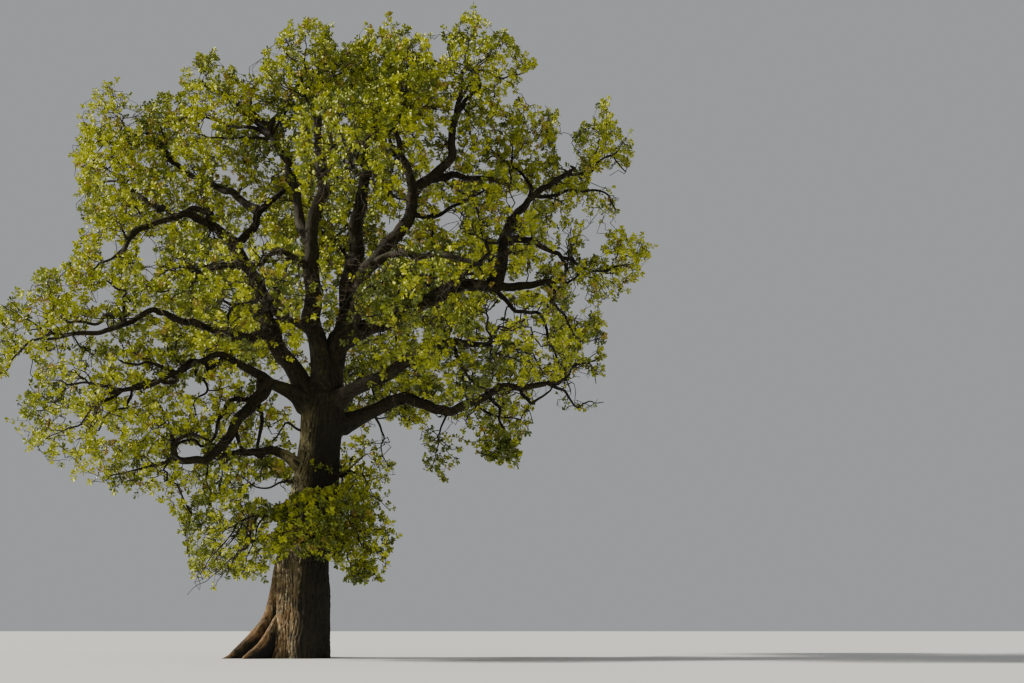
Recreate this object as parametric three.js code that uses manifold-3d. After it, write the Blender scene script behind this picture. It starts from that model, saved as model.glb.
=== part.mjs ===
// A veteran field oak in spring leaf: a trunk with a root flare, its boughs, and masses of leafy twigs.
// Millimetres, +Z up. The origin is the middle of the flat cut at ground level, +X is to the right as the
// tree is usually seen, and +Y is away from the viewer. Headings are degrees from +X towards +Y.
import * as THREE from "three";
import { mergeVertices } from "three/addons/utils/BufferGeometryUtils.js";
import Module from "manifold-3d";

const wasm = await Module();
wasm.setup();

// Driving dimensions
const CLEARANCE = 0.3; // between pieces that meet
const TRUNK_SIDES = 30;
const TRUNK_RINGS = 12;
const TRUNK_RING_POWER = 1.3; // above 1, so that the rings are closer together near the roots
const CAP_SHIFT = 130; // moves the middle corner of the trunk's end faces off its middle line
const THICK_BOUGH = 240; // boughs with a foot radius above this get more sides and rings
const THICK_DETAIL = { sides: 7, ringSpacing: 950 };
const THIN_DETAIL = { sides: 5, ringSpacing: 1250 };
const TRUNK_RUNS = [[3600, 90, 0], [3100, 83, 0], [1900, 86, 0], [1300, 86, 0]];
// Height above the ground and the trunk's mean radius there, without its roots.
const TRUNK_GIRTH = [
  [0, 1240], [1400, 1100], [3000, 970], [5000, 920], [7000, 850], [8300, 810], [9200, 860], [9900, 640],
];
const FLUTE_COUNT = 5;
const FLUTE_SHARE = 0.035; // how far the flutes move the surface, as a share of the radius
// Buttress roots: heading, how far each runs out past the trunk at ground level, its half-width in
// degrees, and the height over which it dies away.
const ROOTS = [
  [182, 1650, 13, 850], [213, 1150, 12, 620], [248, 330, 20, 900], [292, 200, 22, 700], [335, 330, 20, 600],
  [18, 480, 18, 650], [62, 620, 16, 700], [104, 360, 18, 600], [143, 800, 15, 760],
];
const COLLAR_SHARE = 0.35; // how much wider a bough is at its foot than its taper alone
const COLLAR_LENGTH = 600;
const TAPER_POWER = 0.85;
const CORNER_SPACING = 1200; // between the corners that a route is smoothed through
const CROOKEDNESS = 90; // how far each corner may stand off the straight run
const CROOKED_STEPS = [2.1, 3.7, 5.3]; // how fast that offset turns from corner to corner, along X, Y and Z

// The boughs. from and at say which limb a bough grows from, and at what share of that limb's length.
// foot and tip are its radii. Each run is a stretch of its route: its length, its rise in degrees, and
// its heading.
const BOUGHS = [
  { name: "left_low", from: "trunk", at: 0.92, foot: 400, tip: 125,
    runs: [[1300, 40, 205], [3500, 20, 215], [3900, -25, 210]] },
  { name: "left_drooping", from: "left_low", at: 0.3, foot: 230, tip: 100,
    runs: [[4500, -50, 235], [900, 5, 200], [600, 65, 200]] },
  { name: "left_leader", from: "trunk", at: 0.965, foot: 400, tip: 110,
    runs: [[2300, 50, 175], [5600, 65, 165], [2300, 60, 50], [1100, 45, 30]] },
  { name: "left_reach", from: "left_leader", at: 0.33, foot: 210, tip: 90,
    runs: [[1200, -20, 210], [3600, 10, 205], [1700, -25, 200], [1300, -10, 195]] },
  { name: "left_arch", from: "left_leader", at: 0.69, foot: 200, tip: 90,
    runs: [[2200, 30, 205], [2500, -25, 210], [900, -65, 230]] },
  { name: "left_upper", from: "left_arch", at: 0.24, foot: 125, tip: 80,
    runs: [[1100, 50, 135], [1400, 0, 160], [2400, 30, 160]] },
  { name: "left_high", from: "left_leader", at: 0.88, foot: 150, tip: 80,
    runs: [[4300, 30, 155], [2400, 45, 160]] },
  { name: "centre_left", from: "trunk", at: 0.975, foot: 420, tip: 105,
    runs: [[5300, 80, 225], [3400, 80, 315], [3500, 85, 235]] },
  { name: "upper_left", from: "centre_left", at: 0.53, foot: 190, tip: 85,
    runs: [[3700, 70, 155], [2100, 60, 165], [1000, 40, 175]] },
  { name: "left_thin", from: "centre_left", at: 0.44, foot: 100, tip: 70,
    runs: [[1300, 15, 230], [3300, -20, 220]] },
  { name: "centre_right", from: "trunk", at: 0.975, foot: 470, tip: 115,
    runs: [[4000, 75, 50], [5400, 80, 65], [3800, 85, 50]] },
  { name: "right_leader", from: "centre_right", at: 0.13, foot: 350, tip: 100,
    runs: [[3600, 60, 315], [2900, 50, 335], [1000, 65, 320], [2200, 50, 355], [2200, 80, 335]] },
  { name: "inner_right", from: "right_leader", at: 0.64, foot: 145, tip: 80,
    runs: [[3100, 65, 240]] },
  { name: "right_high", from: "right_leader", at: 0.71, foot: 140, tip: 80,
    runs: [[900, 25, 45], [2700, 5, 35]] },
  { name: "right_smooth", from: "right_leader", at: 0.37, foot: 120, tip: 80,
    runs: [[1500, 5, 320], [3200, -15, 325]] },
  { name: "right_upper", from: "centre_right", at: 0.2, foot: 350, tip: 110,
    runs: [[1200, 30, 350], [4200, 20, 350], [3500, 0, 345]] },
  { name: "right_rising", from: "right_upper", at: 0.76, foot: 220, tip: 90,
    runs: [[3600, 70, 50], [2800, 40, 20]] },
  { name: "right_far", from: "right_rising", at: 0.36, foot: 130, tip: 80,
    runs: [[900, 0, 345], [1700, -30, 345]] },
  { name: "right_mid", from: "trunk", at: 0.94, foot: 300, tip: 105,
    runs: [[1000, 40, 330], [5000, 15, 325], [1600, 0, 335]] },
  { name: "right_low", from: "trunk", at: 0.87, foot: 330, tip: 105,
    runs: [[3300, 25, 10], [2200, -15, 10], [2400, 30, 10], [1800, 5, 5]] },
  { name: "low_left", from: "trunk", at: 0.72, foot: 210, tip: 100,
    runs: [[2500, 15, 215], [1100, -15, 225]] },
  { name: "front_left", from: "centre_left", at: 0.24, foot: 180, tip: 90,
    runs: [[3700, 0, 255]] },
  { name: "front_right", from: "right_leader", at: 0.22, foot: 190, tip: 90,
    runs: [[3800, -15, 295]] },
  { name: "front_high", from: "centre_left", at: 0.72, foot: 130, tip: 80,
    runs: [[3000, 0, 295]] },
  { name: "back_left", from: "left_leader", at: 0.31, foot: 210, tip: 100,
    runs: [[2400, 20, 115], [2600, 25, 120]] },
  { name: "back_right", from: "right_upper", at: 0.28, foot: 200, tip: 100,
    runs: [[2300, 25, 80], [2400, 30, 75]] },
  { name: "back_mid", from: "centre_right", at: 0.44, foot: 200, tip: 100,
    runs: [[4600, 35, 110]] },
  { name: "back_low", from: "trunk", at: 0.95, foot: 270, tip: 105,
    runs: [[2700, 25, 85], [2600, 15, 85]] },
];

// The masses of foliage. reach, rise and heading lead from the bough's tip, or from the trunk's middle
// line at the share at, to the middle of the mass, and half is its half-sizes along X, Y and Z.
const MASSES = [
  { bough: "left_low", reach: 1700, rise: -40, heading: 216, half: [3300, 3050, 2350] },
  { bough: "left_drooping", reach: 800, rise: -9, heading: 173, half: [2500, 2600, 1900] },
  { bough: "left_leader", reach: 1700, rise: 68, heading: 74, half: [2500, 2700, 1900] },
  { bough: "left_reach", reach: 1200, rise: 34, heading: 191, half: [2950, 2800, 2350] },
  { bough: "left_arch", reach: 1100, rise: -19, heading: 203, half: [2250, 2600, 2050] },
  { bough: "left_upper", reach: 1400, rise: 24, heading: 162, half: [2600, 2800, 2250] },
  { bough: "left_high", reach: 1800, rise: 45, heading: 171, half: [2500, 2800, 2250] },
  { bough: "centre_left", reach: 1700, rise: 82, heading: 206, half: [2350, 2700, 2150] },
  { bough: "upper_left", reach: 1400, rise: 52, heading: 167, half: [2600, 2800, 2050] },
  { bough: "left_thin", reach: 1200, rise: -55, heading: 240, half: [2950, 2700, 2150] },
  { bough: "centre_right", reach: 2100, rise: 82, heading: 14, half: [2800, 3050, 2600] },
  { bough: "right_leader", reach: 1600, rise: 68, heading: 0, half: [2350, 2600, 2500] },
  { bough: "inner_right", reach: 1400, rise: 44, heading: 336, half: [2050, 2600, 2250] },
  { bough: "right_high", reach: 2300, rise: 53, heading: 24, half: [2500, 2800, 2150] },
  { bough: "right_smooth", reach: 1700, rise: 39, heading: 324, half: [2500, 2600, 2050] },
  { bough: "right_upper", reach: 1600, rise: -53, heading: 339, half: [1900, 2600, 2050] },
  { bough: "right_rising", reach: 1900, rise: 48, heading: 16, half: [2050, 2600, 2350] },
  { bough: "right_far", reach: 1600, rise: 0, heading: 350, half: [2150, 2700, 2150] },
  { bough: "right_mid", reach: 1400, rise: 2, heading: 334, half: [2950, 2800, 1800] },
  { bough: "right_low", reach: 1700, rise: -52, heading: 190, half: [3050, 2600, 2250] },
  { bough: "low_left", reach: 1500, rise: -62, heading: 250, half: [2500, 2600, 2050] },
  { bough: "front_left", reach: 1800, rise: -3, heading: 264, half: [2700, 2950, 2350] },
  { bough: "front_right", reach: 2200, rise: -12, heading: 297, half: [2950, 3050, 2350] },
  { bough: "front_high", reach: 1500, rise: -12, heading: 293, half: [2800, 3050, 2500] },
  { bough: "back_left", reach: 2400, rise: 3, heading: 127, half: [3050, 3300, 2600] },
  { bough: "back_right", reach: 2500, rise: 33, heading: 69, half: [3300, 3300, 2700] },
  { bough: "back_mid", reach: 2400, rise: 34, heading: 115, half: [3050, 3300, 2600] },
  { bough: "back_low", reach: 2300, rise: 7, heading: 74, half: [3300, 3050, 2500] },
  { bough: "trunk", side: "left", at: 0.5, reach: 4100, rise: -15, heading: 228, half: [2600, 2800, 2050] },
  { bough: "trunk", side: "front", at: 0.46, reach: 2500, rise: 8, heading: 294, half: [2250, 2150, 1350] },
  { bough: "trunk", side: "right", at: 0.68, reach: 2600, rise: 14, heading: 38, half: [1700, 2150, 1700] },
];
const TWIGS_PER_MASS = 6;
const FORK_SHARE = 0.92; // where along a twig the first one that grows from it does
const FORK_STEP = 0.17; // how much lower each further one grows
const LEAF_SHARES = [0.45, 0.86]; // where along a twig its leaves grow
const LEAVES_AT_MOST = 10;
const LEAF = { length: 1850, width: 1550, thick: 60, widest: 0.58 }; // stands for a spray of small leaves
const LEAF_ROOT = 2; // how far a leaf's root is sunk past its twig's middle line
const LEAF_FORWARD = 0.6; // how strongly a leaf points along its twig
const LEAF_TRIES = 150;
const TWIG_REACH = 0.72; // how far twigs reach into a mass's space, as a share of its half-sizes
const STEM_SIDES = 5;
const STEM_SHARE = 0.4; // the stem's length, as a share of the way from the bough's tip to the middle
const STEM_LEAST = 500;
const TRUNK_STEM_RADIUS = 100;
const TRUNK_STEM_SHORT = 0.66; // how far short of the middle a trunk's stem ends, by the least half-size
const TWIG_SHARE = 0.5; // a twig's foot radius, as a share of its parent's radius at the fork
const TWIG_TAPER = 0.8; // a stem's or twig's tip radius, as a share of its foot's
const TWIG_LEAST = 26; // a twig's smallest foot radius
const SPACE_MARGIN = 40; // that a mass keeps from its neighbours' spaces
const TWIG_SPACE_MARGIN = 200; // that a twig's end keeps from them
const LIMB_MARGIN = 60; // that twigs and leaves keep from any limb
const TWIG_LIMB_MARGIN = 120; // that a twig's end keeps from any limb
const LIMBS_WITHIN = 2.5; // limbs this many mean half-sizes from a mass's middle are kept clear of
const CANDIDATES = 1500; // places tried in each mass
const PATH_COST = 0.35; // how much a twig prefers a parent that lies near the stem
const SEED = 7;
const SEED_STEP = 7919;
const SEED_START = 12345;
const DRAW_FACTOR = 16807;
const DRAW_PRIME = 2147483647;
const ROUNDING = 1e-6; // shorter lengths count as none
const WELD = 1e-3; // corners nearer than this are one

const BARK = new THREE.MeshStandardMaterial({ color: 0x5a4a38, roughness: 0.95, metalness: 0 });
const FOLIAGE = new THREE.MeshStandardMaterial({ color: 0x8a9a2c, roughness: 0.75, metalness: 0 });

// A unit vector from a rise and a heading in degrees.
function direction(rise, heading) {
  const r = THREE.MathUtils.degToRad(rise);
  const h = THREE.MathUtils.degToRad(heading);
  return new THREE.Vector3(Math.cos(r) * Math.cos(h), Math.cos(r) * Math.sin(h), Math.sin(r));
}

// A repeatable source of numbers from 0 to 1: each step multiplies the state by a factor and keeps the
// remainder by a prime.
function seededDraws(seed) {
  let state = seed * SEED_STEP + SEED_START;
  return () => {
    state = (state * DRAW_FACTOR) % DRAW_PRIME;
    return state / DRAW_PRIME;
  };
}

// The smooth middle line of a limb. Each run is cut into nearly equal steps, and each corner between the
// first and the last is moved a little off the run by sines of its number, so that the limb looks
// crooked.
function routeCurve(start, runs, crookedness) {
  const corners = [start.clone()];
  for (const [length, rise, heading] of runs) {
    const steps = Math.max(1, Math.round(length / CORNER_SPACING));
    const step = direction(rise, heading).multiplyScalar(length / steps);
    for (let i = 0; i < steps; i++) corners.push(corners.at(-1).clone().add(step));
  }
  corners.slice(1, -1).forEach((corner, i) => {
    const n = i + runs.length + runs[0][2];
    const aside = new THREE.Vector3(...CROOKED_STEPS.map((step) => Math.sin(step * n)));
    corner.addScaledVector(aside, crookedness);
  });
  return new THREE.CatmullRomCurve3(corners, false, "catmullrom", 0.5);
}

// A closed three.js geometry as a solid that can be joined and cut.
function solidOf(geometry) {
  const bare = geometry.clone();
  bare.deleteAttribute("normal");
  bare.deleteAttribute("uv");
  const merged = mergeVertices(bare, WELD);
  return new wasm.Manifold(new wasm.Mesh({
    numProp: 3,
    vertProperties: new Float32Array(merged.attributes.position.array),
    triVerts: new Uint32Array(merged.index.array),
  }));
}

// A solid's largest body. Loose scraps are dropped and sealed hollows are filled.
function largestBody(solid) {
  return solid.decompose().sort((a, b) => b.volume() - a.volume())[0];
}

// A solid's triangles as a three.js geometry.
function trianglesOf(solid) {
  const mesh = solid.getMesh();
  return new THREE.BufferGeometry()
    .setAttribute("position", new THREE.BufferAttribute(mesh.vertProperties, 3))
    .setIndex(new THREE.BufferAttribute(mesh.triVerts, 1))
    .toNonIndexed();
}

// A solid's largest body as a geometry, picked twice because rounding the corners can free a scrap.
function geometryOf(solid) {
  return trianglesOf(largestBody(solidOf(trianglesOf(largestBody(solid)))));
}

// A cylinder whose rings follow a curve. radiusAt(share) gives the distance of the surface from the
// curve.
function bentCylinder(curve, sides, rings, radiusAt, grow = 0) {
  const geometry = new THREE.CylinderGeometry(1, 1, 1, sides, rings);
  const position = geometry.attributes.position;
  const vertex = new THREE.Vector3();
  const frames = Array.from({ length: rings + 1 }, (_, i) => ringFrame(curve, i / rings));
  for (let i = 0; i < position.count; i++) {
    vertex.fromBufferAttribute(position, i);
    const share = THREE.MathUtils.clamp(vertex.y + 0.5, 0, 1);
    const { centre, tangent, side, up } = frames[Math.round(share * rings)];
    const flat = Math.hypot(vertex.x, vertex.z);
    const angle = Math.atan2(-vertex.z, vertex.x);
    const radius = flat < 0.5 ? 0 : radiusAt(share) + grow;
    vertex.copy(centre);
    vertex.addScaledVector(side, Math.cos(angle) * radius);
    vertex.addScaledVector(up, Math.sin(angle) * radius);
    if (share === 0) vertex.addScaledVector(tangent, -grow);
    if (share === 1) vertex.addScaledVector(tangent, grow);
    position.setXYZ(i, vertex.x, vertex.y, vertex.z);
  }
  return geometry;
}

// The middle, direction and two cross directions of one ring. The cross directions come from the curve's
// reference axis, so that neighbouring rings never twist.
function ringFrame(curve, share) {
  const centre = curve.getPointAt(share);
  const tangent = curve.getTangentAt(share);
  const up = new THREE.Vector3().crossVectors(tangent, curve.reference).normalize();
  const side = new THREE.Vector3().crossVectors(up, tangent).normalize();
  return { centre, tangent, side, up };
}

// The world axis that a limb's route runs least along, for its rings' cross directions.
function referenceAxis(curve) {
  const axes = [new THREE.Vector3(1, 0, 0), new THREE.Vector3(0, 1, 0), new THREE.Vector3(0, 0, 1)];
  const steps = curve.points.slice(1).map((p, i) => p.clone().sub(curve.points[i]).normalize());
  const worst = axes.map((axis) => Math.max(...steps.map((s) => Math.abs(s.dot(axis)))));
  return axes[worst.indexOf(Math.min(...worst))];
}

// The trunk's surface: its girth at that height, shallow flutes, and a buttress at each root.
function trunkRadius(height, angle) {
  const upper = Math.max(1, TRUNK_GIRTH.findIndex(([h]) => h >= height - ROUNDING));
  const [lowHeight, lowRadius] = TRUNK_GIRTH[upper - 1];
  const [highHeight, highRadius] = TRUNK_GIRTH[upper];
  const girth = THREE.MathUtils.mapLinear(height, lowHeight, highHeight, lowRadius, highRadius);
  const flutes = 1 + FLUTE_SHARE * Math.cos(FLUTE_COUNT * angle);
  let buttress = 0;
  for (const [heading, reach, spread, climb] of ROOTS) {
    const away = THREE.MathUtils.radToDeg(angle) - heading;
    const turn = THREE.MathUtils.euclideanModulo(away + 180, 360) - 180;
    buttress += reach * Math.exp(-height / climb) * Math.exp(-((turn / spread) ** 2));
  }
  return girth * flutes + buttress;
}

// A bough's radius: an even taper and a collar at its foot.
function boughRadius({ foot, tip }, share, length) {
  const taper = tip + (foot - tip) * (1 - share) ** TAPER_POWER;
  return taper + foot * COLLAR_SHARE * Math.exp((-share * length) / COLLAR_LENGTH);
}

// The trunk's rings lie level, so its foot is cut flat at the ground.
function trunkSolid(trunk, grow = 0) {
  const geometry = new THREE.CylinderGeometry(1, 1, 1, TRUNK_SIDES, TRUNK_RINGS);
  const position = geometry.attributes.position;
  const top = TRUNK_GIRTH.at(-1)[0];
  for (let i = 0; i < position.count; i++) {
    const level = Math.round((position.getY(i) + 0.5) * TRUNK_RINGS) / TRUNK_RINGS;
    const height = top * level ** TRUNK_RING_POWER;
    const angle = Math.atan2(-position.getZ(i), position.getX(i));
    const onSurface = Math.hypot(position.getX(i), position.getZ(i)) > 0.5;
    const radius = onSurface ? trunkRadius(height, angle) + grow : CAP_SHIFT;
    const middle = trunk.curve.getPointAt(height / top);
    const end = level === 0 ? -grow : level === 1 ? grow : 0;
    middle.x += radius * Math.cos(angle);
    middle.y += radius * Math.sin(angle);
    position.setXYZ(i, middle.x, middle.y, height + end);
  }
  return solidOf(geometry);
}

// Works out every limb's route, from the trunk outwards.
function layOutLimbs() {
  const trunkCurve = routeCurve(new THREE.Vector3(), TRUNK_RUNS, 0);
  const trunk = { name: "trunk", curve: trunkCurve, length: trunkCurve.getLength(), rings: TRUNK_RINGS };
  const limbs = new Map([["trunk", trunk]]);
  for (const bough of BOUGHS) {
    const foot = limbs.get(bough.from).curve.getPointAt(bough.at);
    const curve = routeCurve(foot, bough.runs, CROOKEDNESS);
    curve.reference = referenceAxis(curve);
    const { sides, ringSpacing } = bough.foot > THICK_BOUGH ? THICK_DETAIL : THIN_DETAIL;
    const length = curve.getLength();
    limbs.set(bough.name, { ...bough, curve, length, sides, rings: Math.round(length / ringSpacing) });
  }
  return limbs;
}

// A bough as a solid, not yet cut by what it grows from.
function boughSolid(bough, grow = 0) {
  const radiusAt = (share) => boughRadius(bough, share, bough.length);
  const outwards = grow / Math.cos(Math.PI / bough.sides); // so that the flats move out by the full amount
  return solidOf(bentCylinder(bough.curve, bough.sides, bough.rings, radiusAt, outwards));
}

// Limbs as short straight stretches with a radius, for telling what lies too near to them.
function stretchesOf(limb) {
  return Array.from({ length: limb.rings }, (_, i) => {
    const share = i / limb.rings;
    const from = limb.curve.getPointAt(share);
    const to = limb.curve.getPointAt((i + 1) / limb.rings);
    const isTrunk = limb.name === "trunk";
    return { from, to, radius: isTrunk ? trunkStretchRadius(from.z) : boughRadius(limb, share, limb.length) };
  });
}

// The trunk's widest radius at a height, for the same test.
function trunkStretchRadius(height) {
  const angles = Array.from({ length: TRUNK_SIDES }, (_, i) => (i / TRUNK_SIDES) * 2 * Math.PI);
  return Math.max(...angles.map((angle) => trunkRadius(height, angle)));
}

// The shortest distance between two straight stretches, by the usual closest-point formula.
function gapBetween(a, b, c, d) {
  const ab = b.clone().sub(a);
  const cd = d.clone().sub(c);
  const ca = a.clone().sub(c);
  const abab = ab.dot(ab);
  const cdcd = cd.dot(cd);
  const abcd = ab.dot(cd);
  const abca = ab.dot(ca);
  const cdca = cd.dot(ca);
  const denominator = abab * cdcd - abcd * abcd;
  let s = denominator > ROUNDING ? THREE.MathUtils.clamp((abcd * cdca - abca * cdcd) / denominator, 0, 1) : 0;
  const t = THREE.MathUtils.clamp((abcd * s + cdca) / cdcd, 0, 1);
  s = THREE.MathUtils.clamp((abcd * t - abca) / abab, 0, 1);
  return a.clone().addScaledVector(ab, s).distanceTo(c.clone().addScaledVector(cd, t));
}

// A mass's middle, its stem, and the half-sizes and mean radius of its space.
function layOutMass(mass, limbs) {
  const limb = limbs.get(mass.bough);
  const fromTrunk = mass.bough === "trunk";
  const start = fromTrunk ? limb.curve.getPointAt(mass.at) : limb.curve.getPoint(1);
  const way = direction(mass.rise, mass.heading);
  const centre = start.clone().addScaledVector(way, mass.reach);
  const out = fromTrunk ? way : limb.curve.getTangent(1);
  const toSpace = mass.reach - TRUNK_STEM_SHORT * Math.min(...mass.half);
  const stemLength = fromTrunk ? toSpace : Math.max(STEM_SHARE * mass.reach, STEM_LEAST);
  const root = fromTrunk ? start : start.clone().addScaledVector(out, CLEARANCE);
  return {
    ...mass, centre, root, way,
    name: fromTrunk ? `foliage_trunk_${mass.side}` : `foliage_${mass.bough}`,
    stemEnd: root.clone().addScaledVector(out, stemLength),
    stemRadius: fromTrunk ? TRUNK_STEM_RADIUS : limb.tip,
    half: new THREE.Vector3(...mass.half),
    size: mass.half.reduce((sum, h) => sum + h, 0) / 3,
  };
}

// Whether a point is in a mass's own space: inside its ellipsoid, and on its side of the plane that parts
// it from each neighbour, where the two squared distances less the squared mean sizes are equal.
function inSpace(point, mass, masses, margin) {
  if (point.clone().sub(mass.centre).divide(mass.half).length() > 1) return false;
  return masses.every((other) => {
    if (other === mass) return true;
    const own = point.distanceToSquared(mass.centre) - mass.size ** 2;
    const theirs = point.distanceToSquared(other.centre) - other.size ** 2;
    return (theirs - own) / (2 * mass.centre.distanceTo(other.centre)) > margin;
  });
}

// Whether a straight piece of a given half-width keeps clear of all limbs and the other masses' stems.
function clearOfLimbs(from, to, halfWidth, stretches) {
  return stretches.every((s) => gapBetween(from, to, s.from, s.to) > s.radius + halfWidth + LIMB_MARGIN);
}

// Places spread evenly through a mass's space: each is the candidate furthest from those already taken.
function spreadPoints(mass, masses, stretches, draw) {
  const open = [];
  for (let i = 0; i < CANDIDATES; i++) {
    const away = new THREE.Vector3(draw() * 2 - 1, draw() * 2 - 1, draw() * 2 - 1);
    const point = away.clone().multiply(mass.half).multiplyScalar(TWIG_REACH).add(mass.centre);
    const roomy = stretches.every((s) => {
      const nearest = new THREE.Line3(s.from, s.to).closestPointToPoint(point, true, new THREE.Vector3());
      return nearest.distanceTo(point) > s.radius + TWIG_LIMB_MARGIN;
    });
    if (away.length() < 1 && roomy && inSpace(point, mass, masses, TWIG_SPACE_MARGIN)) open.push(point);
  }
  const taken = [mass.stemEnd];
  while (taken.length <= TWIGS_PER_MASS && open.length) {
    const gaps = open.map((p) => Math.min(...taken.map((q) => p.distanceTo(q))));
    taken.push(open.splice(gaps.indexOf(Math.max(...gaps)), 1)[0]);
  }
  return taken.slice(1).sort((a, b) => a.distanceTo(mass.stemEnd) - b.distanceTo(mass.stemEnd));
}

// Joins the places into one branching tree: each takes the parent that is near and not far along from the
// stem. The first twig on a parent grows a little short of the parent's end, and further ones below it.
function branchingTree(mass, points, stretches) {
  const stem = { from: mass.root, to: mass.stemEnd, path: 0, foot: mass.stemRadius, forks: 0 };
  const twigs = [];
  const cost = (parent, point) => parent.to.distanceTo(point) + PATH_COST * parent.path;
  const forkOf = (parent) => parent.from.clone().lerp(parent.to, FORK_SHARE - FORK_STEP * parent.forks);
  const clearOfTwigs = (parent, to) => twigs.every((twig) => {
    return twig === parent || gapBetween(forkOf(parent), to, twig.from, twig.to) > 2 * TWIG_LEAST;
  });
  for (const to of points) {
    const parent = [stem, ...twigs]
      .filter((twig) => clearOfLimbs(twig.to, to, 2 * TWIG_LEAST, stretches) && clearOfTwigs(twig, to))
      .sort((a, b) => cost(a, to) - cost(b, to))[0];
    if (!parent) continue;
    const from = forkOf(parent);
    const foot = Math.max(TWIG_LEAST, parent.foot * TWIG_TAPER * TWIG_SHARE);
    parent.forks += 1;
    twigs.push({ from, to, foot, path: parent.path + from.distanceTo(to), forks: 0 });
  }
  return twigs;
}

// A straight tapering stick between two points.
function stick(from, to, foot, sides) {
  const along = to.clone().sub(from).normalize();
  const length = from.distanceTo(to);
  return new THREE.CylinderGeometry(foot * TWIG_TAPER, foot, length, sides)
    .translate(0, length / 2, 0)
    .applyQuaternion(new THREE.Quaternion().setFromUnitVectors(new THREE.Vector3(0, 1, 0), along))
    .translate(from.x, from.y, from.z);
}

// One leaf of eight faces: an octahedron with its root at the origin, its blade along +X, widest past the
// middle.
function leafGeometry() {
  const geometry = new THREE.OctahedronGeometry(1);
  const position = geometry.attributes.position;
  for (let i = 0; i < position.count; i++) {
    const x = position.getX(i);
    const along = x < -0.5 ? 0 : x > 0.5 ? 1 : LEAF.widest;
    const across = (position.getY(i) * LEAF.width) / 2;
    position.setXYZ(i, along * LEAF.length, across, (position.getZ(i) * LEAF.thick) / 2);
  }
  return geometry;
}

// Whether a straight line passes through a leaf's flat blade.
function pierces(from, to, blade) {
  const way = to.clone().sub(from);
  const ray = new THREE.Ray(from, way.clone().normalize());
  const [root, left, tip, right] = blade;
  return [[root, left, tip], [root, tip, right]].some(([a, b, c]) => {
    const hit = ray.intersectTriangle(a, b, c, false, new THREE.Vector3());
    return hit !== null && hit.distanceTo(from) < way.length();
  });
}

// Whether two flat blades cross: then an edge of one passes through the other.
function bladesCross(a, b) {
  const edgePierces = (edges, blade) => edges.some((p, i) => pierces(p, edges[(i + 1) % 4], blade));
  return edgePierces(a, b) || edgePierces(b, a);
}

// Tries seeded directions for a leaf on a twig, and takes the first that stays in the mass's space and
// clear of limbs, of the other twigs and of the leaves before it.
function leafOn(twig, share, mass, masses, stretches, twigs, leaves, draw) {
  const outward = twig.to.clone().sub(twig.from).normalize();
  const root = twig.from.clone().lerp(twig.to, share);
  for (let attempt = 0; attempt < LEAF_TRIES; attempt++) {
    const spread = new THREE.Vector3(draw() * 2 - 1, draw() * 2 - 1, draw() * 2 - 1);
    const along = outward.clone().multiplyScalar(LEAF_FORWARD).add(spread).normalize();
    const across = new THREE.Vector3().crossVectors(outward, along).normalize();
    const facing = new THREE.Vector3().crossVectors(along, across);
    const tip = root.clone().addScaledVector(along, LEAF.length);
    const widest = root.clone().lerp(tip, LEAF.widest);
    const left = widest.clone().addScaledVector(across, -LEAF.width / 2);
    const right = widest.clone().addScaledVector(across, LEAF.width / 2);
    const blade = [root, left, tip, right];
    const fits = [left, tip, right].every((p) => inSpace(p, mass, masses, SPACE_MARGIN))
      && clearOfLimbs(root, tip, LEAF.width / 2, stretches)
      && twigs.every((other) => other === twig || !pierces(other.from, other.to, blade))
      && leaves.every((leaf) => !bladesCross(blade, leaf.blade));
    if (!fits) continue;
    const place = new THREE.Matrix4().makeBasis(along, across, facing);
    place.setPosition(root.clone().addScaledVector(along, -LEAF_ROOT));
    return { blade, geometry: leafGeometry().applyMatrix4(place) };
  }
  return null;
}

// One mass of foliage: its stem, its twigs and its leaves, fused into one solid.
function foliageSolid(mass, masses, limbStretches, index) {
  const draw = seededDraws(SEED + index);
  const otherStems = masses
    .filter((other) => other !== mass)
    .map((other) => ({ from: other.root, to: other.stemEnd, radius: other.stemRadius }));
  const stretches = [...limbStretches, ...otherStems];
  const twigs = branchingTree(mass, spreadPoints(mass, masses, stretches, draw), stretches);
  const leaves = [];
  for (const twig of twigs)
    for (const share of LEAF_SHARES) {
      const leaf = leafOn(twig, share, mass, masses, stretches, twigs, leaves, draw);
      if (leaf && leaves.length < LEAVES_AT_MOST) leaves.push(leaf);
    }
  const parts = [
    stick(mass.root, mass.stemEnd, mass.stemRadius, STEM_SIDES),
    ...twigs.map((twig) => stick(twig.from, twig.to, twig.foot, 3)),
    ...leaves.map((leaf) => leaf.geometry),
  ];
  return parts.map(solidOf).reduce((whole, part) => largestBody(whole.add(part)));
}

function meshOf(name, solid, material) {
  const mesh = new THREE.Mesh(geometryOf(solid), material);
  mesh.name = name;
  return mesh;
}

// Builds the trunk, then each bough cut clear of the limbs before it, then the masses.
function buildOak() {
  const limbs = layOutLimbs();
  const oak = new THREE.Group();
  oak.add(meshOf("trunk", trunkSolid(limbs.get("trunk")), BARK));
  const grown = [trunkSolid(limbs.get("trunk"), CLEARANCE)];
  for (const { name } of BOUGHS) {
    const bough = limbs.get(name);
    const cut = grown.reduce((solid, earlier) => solid.subtract(earlier), boughSolid(bough));
    oak.add(meshOf(`bough_${name}`, cut, BARK));
    grown.push(boughSolid(bough, CLEARANCE));
  }
  const stretches = [...limbs.values()].flatMap(stretchesOf);
  const masses = MASSES.map((mass) => layOutMass(mass, limbs));
  masses.forEach((mass, index) => {
    const near = stretches.filter((s) => s.from.distanceTo(mass.centre) < mass.size * LIMBS_WITHIN);
    const whole = foliageSolid(mass, masses, near, index);
    const cut = mass.bough === "trunk" ? whole.subtract(grown[0]) : whole;
    oak.add(meshOf(mass.name, cut, FOLIAGE));
  });
  return oak;
}

export default buildOak();
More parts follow.
